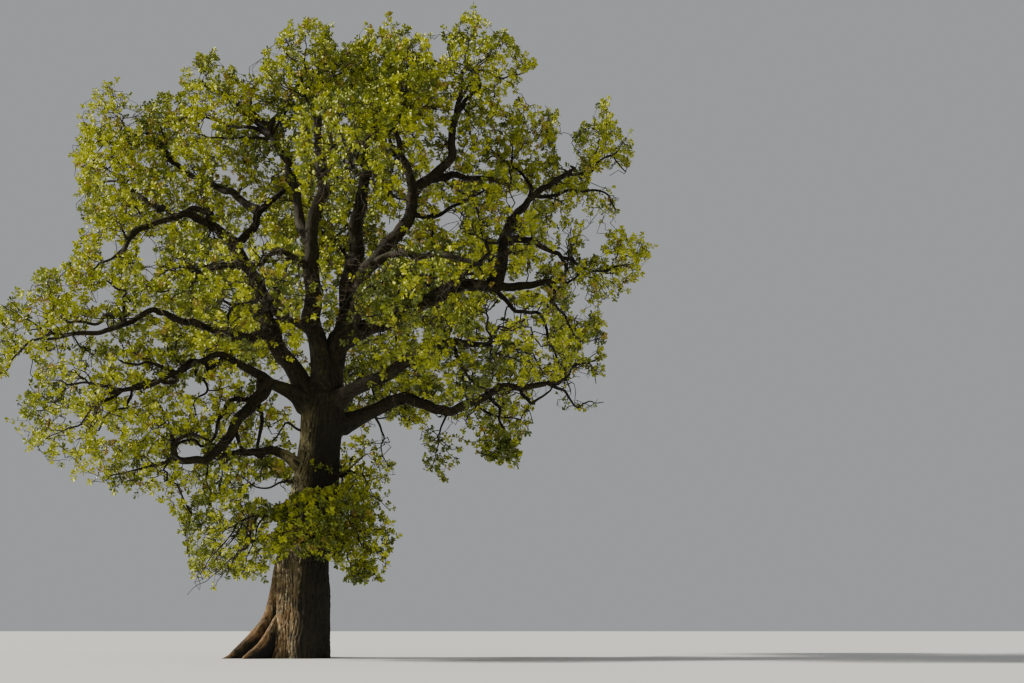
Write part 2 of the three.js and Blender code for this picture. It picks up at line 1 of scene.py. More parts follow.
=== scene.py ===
"""The looks of a veteran field oak in spring leaf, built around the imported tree.

The tables repeat the part's own named sizes, in millimetres and degrees. Everything that is made from them
is in metres, +Z up, with the origin in the middle of the flat cut at ground level. Headings are degrees
from +X towards +Y. Spots in the photo's view are in thousandths of the distance ahead, to the right and up.
"""

from __future__ import annotations

import logging
import math
from dataclasses import dataclass, field
from enum import Enum

import bpy
import numpy as np
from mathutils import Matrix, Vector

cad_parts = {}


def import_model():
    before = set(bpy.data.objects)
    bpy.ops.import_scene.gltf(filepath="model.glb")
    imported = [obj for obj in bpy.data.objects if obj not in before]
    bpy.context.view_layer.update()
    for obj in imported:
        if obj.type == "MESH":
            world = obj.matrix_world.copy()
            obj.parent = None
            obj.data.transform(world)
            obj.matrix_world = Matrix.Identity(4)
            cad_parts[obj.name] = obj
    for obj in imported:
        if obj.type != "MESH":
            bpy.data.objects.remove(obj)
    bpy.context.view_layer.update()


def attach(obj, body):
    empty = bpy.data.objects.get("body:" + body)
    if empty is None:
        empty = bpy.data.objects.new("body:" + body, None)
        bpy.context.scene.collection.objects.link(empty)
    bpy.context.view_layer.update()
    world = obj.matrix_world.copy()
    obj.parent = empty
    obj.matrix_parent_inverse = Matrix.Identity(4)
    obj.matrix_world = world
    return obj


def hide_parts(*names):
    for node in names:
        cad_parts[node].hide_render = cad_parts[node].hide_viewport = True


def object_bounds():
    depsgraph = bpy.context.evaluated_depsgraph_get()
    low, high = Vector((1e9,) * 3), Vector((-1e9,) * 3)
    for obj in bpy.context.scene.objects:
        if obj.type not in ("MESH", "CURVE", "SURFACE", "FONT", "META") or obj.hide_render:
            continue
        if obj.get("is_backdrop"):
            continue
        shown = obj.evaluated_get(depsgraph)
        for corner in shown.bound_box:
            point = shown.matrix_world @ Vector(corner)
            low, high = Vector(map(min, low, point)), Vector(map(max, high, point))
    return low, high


Array = np.ndarray
Colour = tuple[float, float, float, float]
Span = tuple[float, float]
LOG = logging.getLogger("oak")
MM = 0.001
GOLDEN_TURN = math.radians(137.508)
UP = np.array([0.0, 0.0, 1.0])


# Sizes of the limbs and masses


@dataclass(frozen=True)
class BoughSize:
    """The named sizes of one bough.

    Attributes:
        name: the bough's name.
        carrier: the limb that it grows from.
        at: the share of the carrier's length where it starts.
        foot: its radius at the foot, in millimetres, without the collar.
        tip: its radius at the tip, in millimetres.
        runs: the stretches of its route, each as (length, rise, heading).
        leafy: 1 where leaves grow along it, and 0 where it is bare.
        seen: the share of its length that the photo shows in front of the leaves.
        taper: the power that it thins out by.
    """

    name: str
    carrier: str
    at: float
    foot: float
    tip: float
    runs: Array
    leafy: float = 1
    seen: float = 1.0
    taper: float = 0.85


class CanopyPart(Enum):
    """The parts of the canopy that twigs and leaves are joined by."""

    LEFT_LOW = "left_low"
    LEFT_HIGH = "left_high"
    MIDDLE = "middle"
    RIGHT_HIGH = "right_high"
    RIGHT_LOW = "right_low"
    FRONT = "front"
    BACK_LEFT = "back_left"
    BACK_RIGHT = "back_right"


@dataclass(frozen=True)
class MassSize:
    """The named sizes of one mass of foliage.

    Attributes:
        bough: the bough that carries it, or "trunk".
        part: the part of the canopy that its pieces are joined into.
        reach: millimetres from the bough's tip, or the trunk's middle line, to the mass's middle.
        rise: degrees above level of that way.
        heading: degrees from +X towards +Y of that way.
        half: half-sizes along X, Y and Z, in millimetres.
        side: which of the trunk's masses it is, or nothing.
        at: the share of the trunk's length where its stem starts.
    """

    bough: str
    part: CanopyPart
    reach: float
    rise: float
    heading: float
    half: Array
    side: str = ""
    at: float = 1.0


def numbers(width: int, text: str) -> Array:
    """The numbers of a text, in rows of this width."""
    return np.array(text.split(), float).reshape(-1, width)


def read_boughs(table: str) -> list[BoughSize]:
    """Reads a table of boughs, in which a semicolon ends each row.

    Args:
        table: rows of name, carrier, at, foot and tip, then the runs' numbers, then fields as name=number.

    Returns:
        The boughs' sizes.
    """
    sizes = []
    for row in table.split(";")[:-1]:
        name, carrier, *words = row.split()
        given = {key: float(value) for key, value in (word.split("=") for word in words if "=" in word)}
        measures = [float(word) for word in words if "=" not in word]
        sizes.append(BoughSize(name, carrier, *measures[:3], np.reshape(measures[3:], (-1, 3)), **given))
    return sizes


def read_masses(table: str) -> list[MassSize]:
    """Reads a table of masses, in which a semicolon ends each row.

    Args:
        table: rows of bough, part, reach, rise, heading and the three half-sizes, and for the trunk's also
            side and at.

    Returns:
        The masses' sizes.
    """
    sizes = []
    for row in table.split(";")[:-1]:
        bough, part, *words = row.split()
        way, half = [float(word) for word in words[:3]], np.array(words[3:6], float)
        sizes.append(MassSize(bough, CanopyPart(part), *way, half, *words[6:7], *map(float, words[7:])))
    return sizes


BOUGHS = read_boughs("""
left_low trunk 0.92 400 85  1300 40 205  3500 20 215  3900 -25 210  taper=3.0;
left_drooping left_low 0.3 230 100  4500 -50 235  900 5 200  600 65 200;
left_leader trunk 0.965 400 110  2300 50 175  5600 65 165  2300 60 50  1100 45 30  taper=1.2;
left_reach left_leader 0.33 155 80  1200 -20 210  3600 10 205  1700 -25 200  1300 -10 195;
left_arch left_leader 0.69 200 80  2200 30 205  2500 -25 210  900 -65 230  taper=1.4;
left_upper left_arch 0.24 125 80  1100 50 135  1400 0 160  2400 30 160;
left_high left_leader 0.88 150 80  4300 30 155  2400 45 160  seen=0.4;
centre_left trunk 0.975 420 105  5300 80 225  3400 80 315  3500 85 235;
upper_left centre_left 0.53 190 85  3700 70 155  2100 60 165  1000 40 175  seen=0.3;
left_thin centre_left 0.44 100 70  1300 15 230  3300 -20 220;
centre_right trunk 0.975 470 115  4000 75 50  5400 80 65  3800 85 50  seen=0.78;
right_leader centre_right 0.13 350 100  3600 60 315  2900 50 335  1000 65 320  2200 50 355  2200 80 335;
inner_right right_leader 0.64 145 80  3100 65 240;
right_high right_leader 0.71 140 80  900 25 45  2700 5 35;
right_smooth right_leader 0.37 120 80  1500 5 320  3200 -15 325;
right_upper centre_right 0.2 350 110  1200 30 350  4200 20 350  3500 0 345;
right_rising right_upper 0.76 220 90  3600 70 50  2800 40 20;
right_far right_rising 0.36 130 80  900 0 345  1700 -30 345;
right_mid trunk 0.94 300 105  1000 40 330  5000 15 325  1600 0 335;
right_low trunk 0.87 330 105  3300 25 10  2200 -15 10  2400 30 10  1800 5 5  taper=1.3;
low_left trunk 0.72 210 100  2500 15 215  1100 -15 225;
front_left centre_left 0.24 180 90  3700 0 255;
front_right right_leader 0.22 190 90  3800 -15 295;
front_high centre_left 0.72 130 80  3000 0 295;
back_left left_leader 0.31 210 100  2400 20 115  2600 25 120;
back_right right_upper 0.28 200 100  2300 25 80  2400 30 75;
back_mid centre_right 0.44 200 100  4600 35 110;
back_low trunk 0.95 270 105  2700 25 85  2600 15 85;
""")

MASSES = read_masses("""
left_low left_low 1700 -40 216 3300 3050 2350;
left_drooping left_low 800 -9 173 2500 2600 1900;
left_leader middle 1700 68 74 2500 2700 1900;
left_reach left_low 1200 34 191 2950 2800 2350;
left_arch left_high 1100 -19 203 2250 2600 2050;
left_upper left_high 1400 24 162 2600 2800 2250;
left_high left_high 1800 45 171 2500 2800 2250;
centre_left middle 1700 82 206 2350 2700 2150;
upper_left left_high 1400 52 167 2600 2800 2050;
left_thin front 1200 -55 240 2950 2700 2150;
centre_right middle 2100 82 14 2800 3050 2600;
right_leader right_high 1600 68 0 2350 2600 2500;
inner_right middle 1400 44 336 2050 2600 2250;
right_high right_high 2300 53 24 2500 2800 2150;
right_smooth right_low 1700 39 324 2500 2600 2050;
right_upper right_low 1600 -53 339 1900 2600 2050;
right_rising right_high 1900 48 16 2050 2600 2350;
right_far right_high 1600 0 350 2150 2700 2150;
right_mid right_low 1400 2 334 2950 2800 1800;
right_low right_low 1700 -52 190 3050 2600 2250;
low_left left_low 1500 -62 250 2500 2600 2050;
front_left front 1800 -3 264 2700 2950 2350;
front_right front 2200 -12 297 2950 3050 2350;
front_high front 1500 -12 293 2800 3050 2500;
back_left back_left 2400 3 127 3050 3300 2600;
back_right back_right 2500 33 69 3300 3300 2700;
back_mid back_left 2400 34 115 3050 3300 2600;
back_low back_right 2300 7 74 3300 3050 2500;
trunk left_low 4100 -15 228 2600 2800 2050 left 0.5;
trunk front 2500 8 294 2250 2150 1350 front 0.46;
trunk right_low 2600 14 38 1700 2150 1700 right 0.68;
""")

# Traced from the photo, on the trunk, on the boughs or on one another.
FINER_BOUGHS = read_boughs("""
arch_hook left_arch 0.79 80 35  760 -48 171  810 -62 168  940 -19 174;
high_second left_high 0.96 70 30  1550 12 169  880 7 169  1360 39 167;
high_spur left_high 0.82 55 25  1620 46 207  710 -3 198  860 47 207;
upper_inner upper_left 0.78 90 35  670 78 261  910 51 341  940 17 348;
upper_level upper_left 0.8 80 35  1710 17 169  1190 25 169  1210 0 169;
upper_low upper_left 0.76 55 25  1530 -6 198  680 -7 198  710 3 198;
upper_steep upper_left 0.8 80 30  1080 31 180  680 41 180  970 51 180  830 29 180;
reach_upper left_reach 0.76 75 30  810 27 169  490 -12 169  540 -1 169  1070 9 169;
reach_spur left_reach 0.77 65 30  1000 78 260  390 78 270  630 18 193;
reach_tip left_reach 1.0 60 20  1360 -14 193  520 -33 195  700 -54 201  510 -67 211;
low_level left_low 1.0 60 30  1320 16 169  610 8 169  600 2 169;
low_upper left_low 0.77 65 30  900 36 202  530 1 198  780 -12 199;
low_under left_low 0.51 85 30  930 -52 204  360 42 200  480 7 195  610 -29 197  420 -74 238  540 -3 195
    740 -20 196  590 -60 210  380 -70 224  640 -26 197  590 -57 208;
droop_ring left_drooping 0.99 62 40  260 56 350  380 16 354  450 -5 354  480 -29 354;
low_zigzag left_low 0.62 60 25  760 -54 190  710 -50 352  580 -67 195  460 -84 272;
droop_parallel left_drooping 0.16 85 45  520 -5 189  510 -19 189  550 -60 198  830 -69 205  390 -45 193
    570 14 189  470 -25 190;
droop_upright left_drooping 0.13 85 50  960 -82 49  770 -83 56  450 -84 78;
droop_spur left_drooping 0.44 70 35  590 -65 28  470 -37 14  520 -29 13;
leader_spur left_leader 0.45 70 30  1260 -20 199  460 -59 213  720 -75 270;
leader_right left_leader 0.36 70 30  100 -49 27  690 42 23  650 64 39;
trunk_arch trunk 0.86 60 25  890 5 198  410 14 198  420 -25 199  430 -58 213;
leader_top right_leader 0.96 85 30  1200 57 0  640 87 0  680 62 180  820 85 0;
leader_flag right_leader 0.99 60 25  1530 61 21  710 16 12  860 0 11  450 10 11;
high_end right_high 0.86 55 25  680 0 0  520 90 0;
leader_level right_leader 0.57 90 35  1170 9 349  800 5 349  570 13 348  610 37 345;
leader_hanging right_leader 0.71 60 25  2010 -29 7  730 -76 24  600 -77 26;
rising_left right_rising 0.72 75 30  780 81 144  930 66 167  850 75 159;
rising_right right_rising 0.77 75 30  810 -14 348  830 17 348  990 -9 348  900 -40 346;
rising_end right_rising 1.0 60 25  1850 26 6  680 -30 7  530 -18 6;
far_end right_far 1.0 65 25  1570 -20 6  730 8 6  710 23 6;
upper_end right_upper 0.98 80 30  670 -13 354  440 14 354  500 44 352;
upper_hanging right_upper 0.76 90 25  770 -34 7  710 -34 7  680 -30 7  860 -46 8  680 -81 42  640 -78 30
    600 -58 11;
upper_outer right_upper 1.0 65 25  920 -59 349  550 -55 350  560 -61 348  740 -69 344;
upper_over right_upper 0.43 90 35  530 53 330  600 24 341  640 10 343  750 5 343;
mid_down right_mid 0.85 70 30  520 -51 343  570 -63 336  580 -38 346  710 -50 343;
low_second right_low 0.89 70 30  590 -51 342  390 -33 347  590 45 343  380 56 339;
low_bare_down right_low 1.0 60 15  770 -21 0  600 -63 0  460 26 0  410 12 0  540 -27 0  leafy=0;
low_bare_up right_low 1.0 60 15  940 25 6  340 60 11  550 10 6  420 -16 6  650 -83 58  leafy=0;
low_drop right_low 0.74 70 25  590 -50 0  580 -79 0  640 -86 0  650 -87 180;
low_side right_low 0.68 60 25  1040 -39 15  620 3 11  450 -9 12;
low_tassel right_low 0.23 45 15  880 -64 347  810 -81 323  650 -76 336;
low_thread right_low 0.56 40 12  990 -72 161  650 -78 152  690 -66 166;
centre_side centre_right 0.8 90 35  590 -40 7  700 -42 8  670 -29 7;
inner_twist inner_right 0.42 75 30  720 38 173  970 81 34  790 81 36  790 64 168;
centre_left_side centre_left 0.74 85 30  950 72 147  730 51 17  710 33 13;
centre_left_top centre_left 0.91 75 30  1320 66 209  840 69 214  1020 74 315;
thin_spur left_thin 0.51 50 20  870 -3 180  690 0 180  1230 -4 180;
right_of_trunk trunk 0.71 55 20  810 -2 12  470 -3 12  620 -20 12  460 21 12;
left_of_trunk trunk 0.64 60 20  880 13 174  560 20 174  720 -5 174  920 15 174;
left_low_shoot trunk 0.46 70 20  950 13 192  880 24 193  820 -6 192  800 -35 195;
front_band trunk 0.57 60 20  1150 3 268  620 -21 230  680 -37 240;
front_band_low trunk 0.48 60 20  1440 -14 304  650 3 321  800 -15 320;
front_hanging trunk 0.61 70 20  1790 -17 318  840 -46 329  910 -62 311  1100 -65 298;
front_hanging_low trunk 0.51 60 20  1860 -23 318  780 -51 317  940 -60 298;
upper_up upper_left 0.88 70 22  570 20 193  700 77 298  760 75 231;
upper_right upper_left 0.88 65 22  510 34 346  680 50 342  580 42 344;
upper_second upper_left 0.75 60 22  1280 59 21  680 67 27;
high_far left_high 0.97 60 20  1390 5 186  520 7 186  610 20 186  440 44 188  690 18 186;
high_knee left_high 0.92 65 25  590 26 200  550 47 207  430 12 199;
high_top high_second 0.52 40 15  1450 82 137  790 32 174  610 42 173;
arch_spur left_arch 0.24 65 25  610 14 199  360 27 200  420 -23 199;
upper_far left_upper 0.61 65 22  840 -27 193  490 34 194  580 43 196  380 30 194;
arch_small left_arch 0.93 45 15  280 78 255  480 53 199;
droop_low left_drooping 0.92 60 20  1000 -22 186  880 -12 186  650 -30 187;
low_far left_low 1.0 50 16  1670 -38 188  790 -35 187  560 -27 187  460 -53 190;
low_fan left_low 1.0 50 16  880 -34 209  610 -56 223  690 -69 267;
leader_left left_leader 0.63 60 22  960 -12 198  880 -11 198  900 -10 198  730 -29 200;
leader_over left_leader 0.63 60 25  700 -3 335  1230 5 335  920 -44 328  920 -61 308;
bare_fan_first left_low_shoot 0.57 32 9  1190 -65 208  1090 -44 197  790 -41 196  880 -46 197  leafy=0;
bare_fan_second left_low_shoot 0.65 30 9  1320 -74 202  890 -58 191  680 -60 192  leafy=0;
bare_fan_third left_low_shoot 0.73 30 9  1170 -63 221  1040 -46 206  820 -47 207  leafy=0;
bare_fan_fourth left_low_shoot 0.5 28 8  1200 -74 158  800 -49 171  660 -63 167  leafy=0;
bare_fan_fifth left_low_shoot 0.82 28 8  1220 -60 231  1010 -48 217  720 -67 260  leafy=0;
""")

# Ellipses in the view, each as right, up, half wide and half high: where the sky shows through, where
# leaves stand close, and where they stand apart.
SKY_GAPS = numbers(4, """
-237 169 8 6  -312 74 8 7  -282 66 6 16  -319 37 8 7  -7 24 16 8  -5 45 7 7  4 111 12 8  -47 95 9 10
42 75 5 14  -292 190 8 7  -238 -35 6 6  -100 -68 12 10  -56 -66 7 7  -381 -24 7 12  -195 78 6 5
-221 32 4 10  -148 -5 3 33  55 29 8 11  -322 10 6 5  -130 240 10 6  -58 232 6 14  42 167 7 16  22 195 12 11
-91 -86 11 8  61 -3 5 8  -206 218 11 9  -252 -90 10 9  -269 201 11 9  -119 -39 8 5  65 83 8 11
-191 -117 17 9  -188 -145 6 5  44 147 8 9  70 126 8 7  62 -37 22 14  30 -46 12 7  14 22 8 5  22 10 12 5
""")
DENSE_SPOTS = numbers(4, """
-155 -139 42 26  -126 -172 18 16  -10 -85 13 17  -112 196 52 34  -66 -8 16 12  -97 32 26 20
""")
OPEN_SPOTS = numbers(4, """
61 97 24 18  82 114 18 24  -112 -81 22 18  -64 -85 20 24  -37 -77 15 18  26 -12 10 20  73 40 22 14
-312 182 26 18  -357 -73 26 24  37 93 14 10  -344 -15 20 24
""")

# The corners of the canopy's outline in the view, each as right and up.
OUTLINE = numbers(2, """
-411 7  -406 23  -391 29  -378 34  -375 45  -369 55  -352 53  -344 59  -338 71  -336 82  -328 89  -338 100
-341 114  -341 142  -338 173  -334 186  -325 198  -312 202  -298 189  -286 184  -275 192  -262 200  -256 212
-247 220  -236 227  -227 222  -214 212  -202 217  -195 226  -183 234  -173 243  -169 248  -158 250  -144 251
-136 239  -127 236  -117 243  -106 253  -94 256  -86 245  -73 239  -64 229  -56 218  -52 234  -47 246
-39 253  -28 256  -17 246  -5 237  8 228  19 217  14 207  3 200  9 189  22 184  31 186  39 175  42 161
50 159  59 171  67 186  76 192  81 178  88 162  95 148  93 138  80 129  79 118  84 107  73 100  72 87  89 81
109 81  112 67  102 51  88 43  84 31  72 34  67 28  72 12  75 -4  66 -19  80 -33  78 -49  62 -52  45 -52
28 -49  16 -55  9 -74  6 -97  -5 -106  -20 -97  -33 -83  -47 -105  -66 -110  -69 -86  -73 -67  -88 -66
-94 -81  -91 -100  -100 -108  -97 -124  -89 -139  -92 -163  -100 -182  -114 -194  -130 -186  -142 -172
-166 -168  -177 -168  -188 -175  -200 -180  -212 -182  -225 -177  -236 -183  -245 -185  -252 -172  -255 -159
-264 -143  -275 -124  -291 -118  -308 -115  -322 -112  -334 -101  -348 -95  -362 -95  -378 -89  -384 -77
-381 -61  -388 -49  -378 -36  -377 -24  -376 -10  -386 -8  -393 -18  -397 -32  -406 -30  -411 -11
""")


# Working with points and directions


def direction(rise: float, heading: float) -> Array:
    """A unit vector: cos rise cos heading, cos rise sin heading, sin rise."""
    r, h = math.radians(rise), math.radians(heading)
    return np.array([math.cos(r) * math.cos(h), math.cos(r) * math.sin(h), math.sin(r)])


def unit(vectors: Array) -> Array:
    """Each vector divided by its length."""
    return vectors / np.maximum(np.linalg.norm(vectors, axis=-1, keepdims=True), 1e-9)


def gaps_between(places: Array, others: Array) -> Array:
    """The distance of each of n places from each of m others, (n, m)."""
    return np.linalg.norm(places[:, None] - others[None], axis=2)


def across_frames(along: Array, reference: Array) -> tuple[Array, Array]:
    """Two directions square to each direction and to each other: second x along, and along x reference."""
    second = unit(np.cross(along, reference))
    return np.cross(second, along), second


def least_axis(steps: Array) -> Array:
    """The world axis whose largest share in any of (..., n, 3) unit steps is the smallest."""
    return np.eye(3)[np.abs(steps).max(axis=-2).argmin(axis=-1)]


def turns(sides: int) -> Array:
    """The angles of points spaced evenly round a ring."""
    return np.arange(sides) * 2 * math.pi / sides


def round_about(first: Array, second: Array, turn: Array) -> Array:
    """The ways at these turns round a line: cos turn first + sin turn second."""
    return first[..., None, :] * np.cos(turn)[..., None] + second[..., None, :] * np.sin(turn)[..., None]


class LatticeNoise:
    """Smooth noise from -1 to 1 that repeats every 32 units.

    Random values stand at the corners of a unit lattice, and between them each axis is blended by
    3t^2 - 2t^3.
    """

    SIZE = 32

    def __init__(self, seed: int) -> None:
        """Deals out the lattice's values from a seed."""
        self.values = np.random.default_rng(seed).uniform(-1, 1, (self.SIZE,) * 3)

    def __call__(self, points: Array) -> Array:
        """The noise at each point.

        Args:
            points: (..., 3) coordinates.

        Returns:
            (...) values.
        """
        cell = np.floor(points).astype(int)
        t = points - cell
        t = t * t * (3 - 2 * t)
        total = np.zeros(points.shape[:-1])
        for corner in np.ndindex(2, 2, 2):
            at = (cell + corner) % self.SIZE
            weight = np.where(np.array(corner) == 1, t, 1 - t).prod(axis=-1)
            total += weight * self.values[at[..., 0], at[..., 1], at[..., 2]]
        return total


class Route:
    """A limb's smooth middle line, read by shares of its length."""

    CORNER_SPACING = 1.2
    CROOKEDNESS = 0.09
    CROOKED_STEPS = np.array([2.1, 3.7, 5.3])
    GNARL_FADE = 0.12
    GNARL_NOISES = tuple(LatticeNoise(seed) for seed in (21, 22, 23))
    SAMPLES = 60
    HALF_STEP = 0.005

    def __init__(self, corners: Array) -> None:
        """Lays the curve through its (n, 3) corners.

        Between corners b and c, with neighbours a and d, the curve at t is
        b + t (c - a)/2 + t^2 (a - 5b/2 + 2c - d/2) + t^3 (-a/2 + 3b/2 - 3c/2 + d/2).
        """
        ends = (2 * corners[0] - corners[1], 2 * corners[-1] - corners[-2])
        padded = np.vstack([ends[0], corners, ends[1]])
        a, b, c, d = padded[:-3, None], padded[1:-2, None], padded[2:-1, None], padded[3:, None]
        t = (np.arange(self.SAMPLES) / self.SAMPLES)[None, :, None]
        squared = t**2 * (a - 2.5 * b + 2 * c - d / 2)
        curve = b + t * (c - a) / 2 + squared + t**3 * (-a / 2 + 1.5 * b - 1.5 * c + d / 2)
        self.reference = least_axis(unit(np.diff(corners, axis=0)))
        self.measure(np.vstack([curve.reshape(-1, 3), corners[-1]]))

    def measure(self, points: Array) -> None:
        """Takes these points as the line, and measures along it."""
        self.points = points
        self.travel = np.append(0, np.cumsum(np.linalg.norm(np.diff(points, axis=0), axis=1)))
        self.length = float(self.travel[-1])

    def gnarl(self, reach: float) -> None:
        """Bends the line in small crooks, which fade to nothing at both ends.

        The offset is reach (noise(p) + noise(2.3 p) / 2), with other noises for x, y and z.

        Args:
            reach: metres.
        """
        share = self.travel / self.length
        fade = np.minimum(1, np.minimum(share, 1 - share) / self.GNARL_FADE)
        offset = [noise(self.points) + 0.5 * noise(2.3 * self.points) for noise in self.GNARL_NOISES]
        self.measure(self.points + (reach * fade)[:, None] * np.stack(offset, axis=-1))

    @classmethod
    def by_runs(cls, start: Array, runs: Array, crooked: bool) -> Route:
        """The route through corners that straight runs give.

        Each run is cut into nearly equal steps. Each corner between the first and the last is moved by
        sines of its number.

        Args:
            start: the first corner.
            runs: stretches, each as (millimetres, rise, heading).
            crooked: whether the corners are moved.

        Returns:
            The route.
        """
        steps = []
        for length, rise, heading in runs:
            count = max(1, round(length * MM / cls.CORNER_SPACING))
            steps += [direction(rise, heading) * length * MM / count] * count
        corners = start + np.vstack([np.zeros(3), np.cumsum(steps, axis=0)])
        if crooked:
            number = np.arange(len(corners) - 2) + len(runs) + runs[0][2]
            corners[1:-1] += cls.CROOKEDNESS * np.sin(number[:, None] * cls.CROOKED_STEPS)
        return cls(corners)

    def at(self, shares: Array | float) -> Array:
        """The points at these shares of the length."""
        travel = np.asarray(shares, float) * self.length
        return np.stack([np.interp(travel, self.travel, self.points[:, k]) for k in range(3)], axis=-1)

    def along(self, shares: Array | float) -> Array:
        """The directions at these shares of the length, from points a hundredth apart."""
        s = np.asarray(shares, float)
        return unit(self.at(np.minimum(s + self.HALF_STEP, 1)) - self.at(np.maximum(s - self.HALF_STEP, 0)))


# Meshes


def link(name: str, data: bpy.types.ID) -> bpy.types.Object:
    """A new object of this data, in the scene."""
    made = bpy.data.objects.new(name, data)
    bpy.context.scene.collection.objects.link(made)
    return made


def tube_faces(rings: int, sides: int, tubes: int = 1) -> list[Array]:
    """The faces of closed tubes, facing outwards, with their corners numbered ring by ring.

    Args:
        rings: rings in each tube.
        sides: points in each ring.
        tubes: how many tubes follow one another.

    Returns:
        The four-cornered faces of the walls, and the faces over every foot and then every tip.
    """
    ring, side = np.arange(rings - 1)[:, None] * sides, np.arange(sides)[None, :]
    after = (side + 1) % sides
    quads = np.stack([ring + side, ring + after, ring + sides + after, ring + sides + side], axis=-1)
    start = np.arange(tubes)[:, None] * rings * sides
    walls = (quads.reshape(1, -1, 4) + start[:, None]).reshape(-1, 4)
    return [walls, np.vstack([start + side[0, ::-1], start + (rings - 1) * sides + side[0]])]


def sticks(lines: Array, radii: Array, sides: int) -> tuple[Array, list[Array]]:
    """Thin closed tubes round many lines at once.

    Each ring's point k stands off its line by radius (cos(2 pi k / sides) first + sin(2 pi k / sides)
    second), where first and second are square to the line.

    Args:
        lines: (tubes, rings, 3) points.
        radii: (tubes, rings) distances of the surface from the line.
        sides: points in each ring.

    Returns:
        The corners and the faces.
    """
    along = unit(np.gradient(lines, axis=1))
    ring = round_about(*across_frames(along, least_axis(along)[:, None, :]), turns(sides))
    corners = lines[:, :, None] + ring * radii[:, :, None, None]
    return corners.reshape(-1, 3), tube_faces(lines.shape[1], sides, len(lines))


class MeshStore:
    """Gathers corners and faces and writes them into one Blender mesh."""

    def __init__(self) -> None:
        """Starts with nothing in it."""
        self.corners: list[Array] = []
        self.faces: list[tuple[Array, Array]] = []
        self.relief: list[Array] = []
        self.count = 0

    def add(self, corners: Array, faces: list[Array], finish: Array | int = 0) -> None:
        """Adds a surface.

        Args:
            corners: (n, 3) points.
            faces: arrays of (m, k) corner numbers, one array for each number of corners k.
            finish: which of the piece's materials the faces take, one for all or one for each face.
        """
        self.faces += [(group + self.count, np.broadcast_to(finish, (len(group),))) for group in faces]
        self.corners.append(corners)
        self.count += len(corners)

    def add_bark(self, wall: Array, relief: Array, ends: int = 2) -> None:
        """Adds a tube of bark.

        Args:
            wall: (rings, sides, 3) points.
            relief: (rings, sides) heights of the bark, lowered for painted shade beside the roots and on their
                fins, kept as an attribute for its material.
            ends: 2 where a face closes both ends, 1 where the tip has closed itself.
        """
        walls, caps = tube_faces(*wall.shape[:2])
        self.add(wall.reshape(-1, 3), [walls, caps[:ends]])
        self.relief.append(relief.ravel())

    def build(
        self, name: str, materials: list[bpy.types.Material], smooth: bool, slot: str, nodes: list[str]
    ) -> None:
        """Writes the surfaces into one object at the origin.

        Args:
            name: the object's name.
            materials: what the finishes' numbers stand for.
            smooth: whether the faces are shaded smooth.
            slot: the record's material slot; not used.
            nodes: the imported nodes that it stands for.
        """
        corners = np.vstack(self.corners).astype(np.float32)
        loops = np.concatenate([group.ravel() for group, _ in self.faces]).astype(np.int32)
        sizes = np.concatenate([np.full(len(group), group.shape[1]) for group, _ in self.faces])
        mesh = bpy.data.meshes.new(name)
        mesh.vertices.add(len(corners))
        mesh.loops.add(len(loops))
        mesh.polygons.add(len(sizes))
        mesh.vertices.foreach_set("co", corners.ravel())
        mesh.loops.foreach_set("vertex_index", loops)
        by_face = {
            "loop_start": np.append(0, np.cumsum(sizes)[:-1]).astype(np.int32),
            "material_index": np.concatenate([finish for _, finish in self.faces]).astype(np.int32),
            "use_smooth": np.full(len(sizes), smooth),
        }
        for measure, values in by_face.items():
            mesh.polygons.foreach_set(measure, values)
        if self.relief:
            attribute = mesh.attributes.new("relief", "FLOAT", "POINT")
            attribute.data.foreach_set("value", np.concatenate(self.relief).astype(np.float32))
        mesh.update(calc_edges=True)
        mesh.validate()
        for material in materials:
            mesh.materials.append(material)
        piece = link(name, mesh)
        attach(piece, "root")
        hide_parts(*nodes)
        LOG.info("%s: %d triangles", name, int((sizes - 2).sum()))


# Shader maths


class Signal:
    """A shader value that Python expressions work on: each operation adds one Math node."""

    def __init__(self, bench: NodeBench, socket: bpy.types.NodeSocket) -> None:
        """Wraps a socket of the bench's nodes."""
        self.bench = bench
        self.socket = socket

    def _math(self, operation: str, *terms: Signal | float) -> Signal:
        """The result of one Math node."""
        return self.bench.signal("ShaderNodeMath", {"operation": operation}, dict(enumerate(terms)))

    def __add__(self, other: Signal | float) -> Signal:
        """Self plus other."""
        return self._math("ADD", self, other)

    def __mul__(self, other: Signal | float) -> Signal:
        """Self times other."""
        return self._math("MULTIPLY", self, other)

    def __sub__(self, other: Signal | float) -> Signal:
        """Self less other."""
        return self._math("SUBTRACT", self, other)

    def __rsub__(self, other: float) -> Signal:
        """Other less self."""
        return self._math("SUBTRACT", other, self)

    __radd__, __rmul__ = __add__, __mul__

    def between(self, low: float, high: float) -> Signal:
        """Rises smoothly from 0 where self is low to 1 where it is high, and stays there."""
        inputs = {"Value": self, "From Min": low, "From Max": high}
        return self.bench.signal("ShaderNodeMapRange", {"interpolation_type": "SMOOTHSTEP"}, inputs)


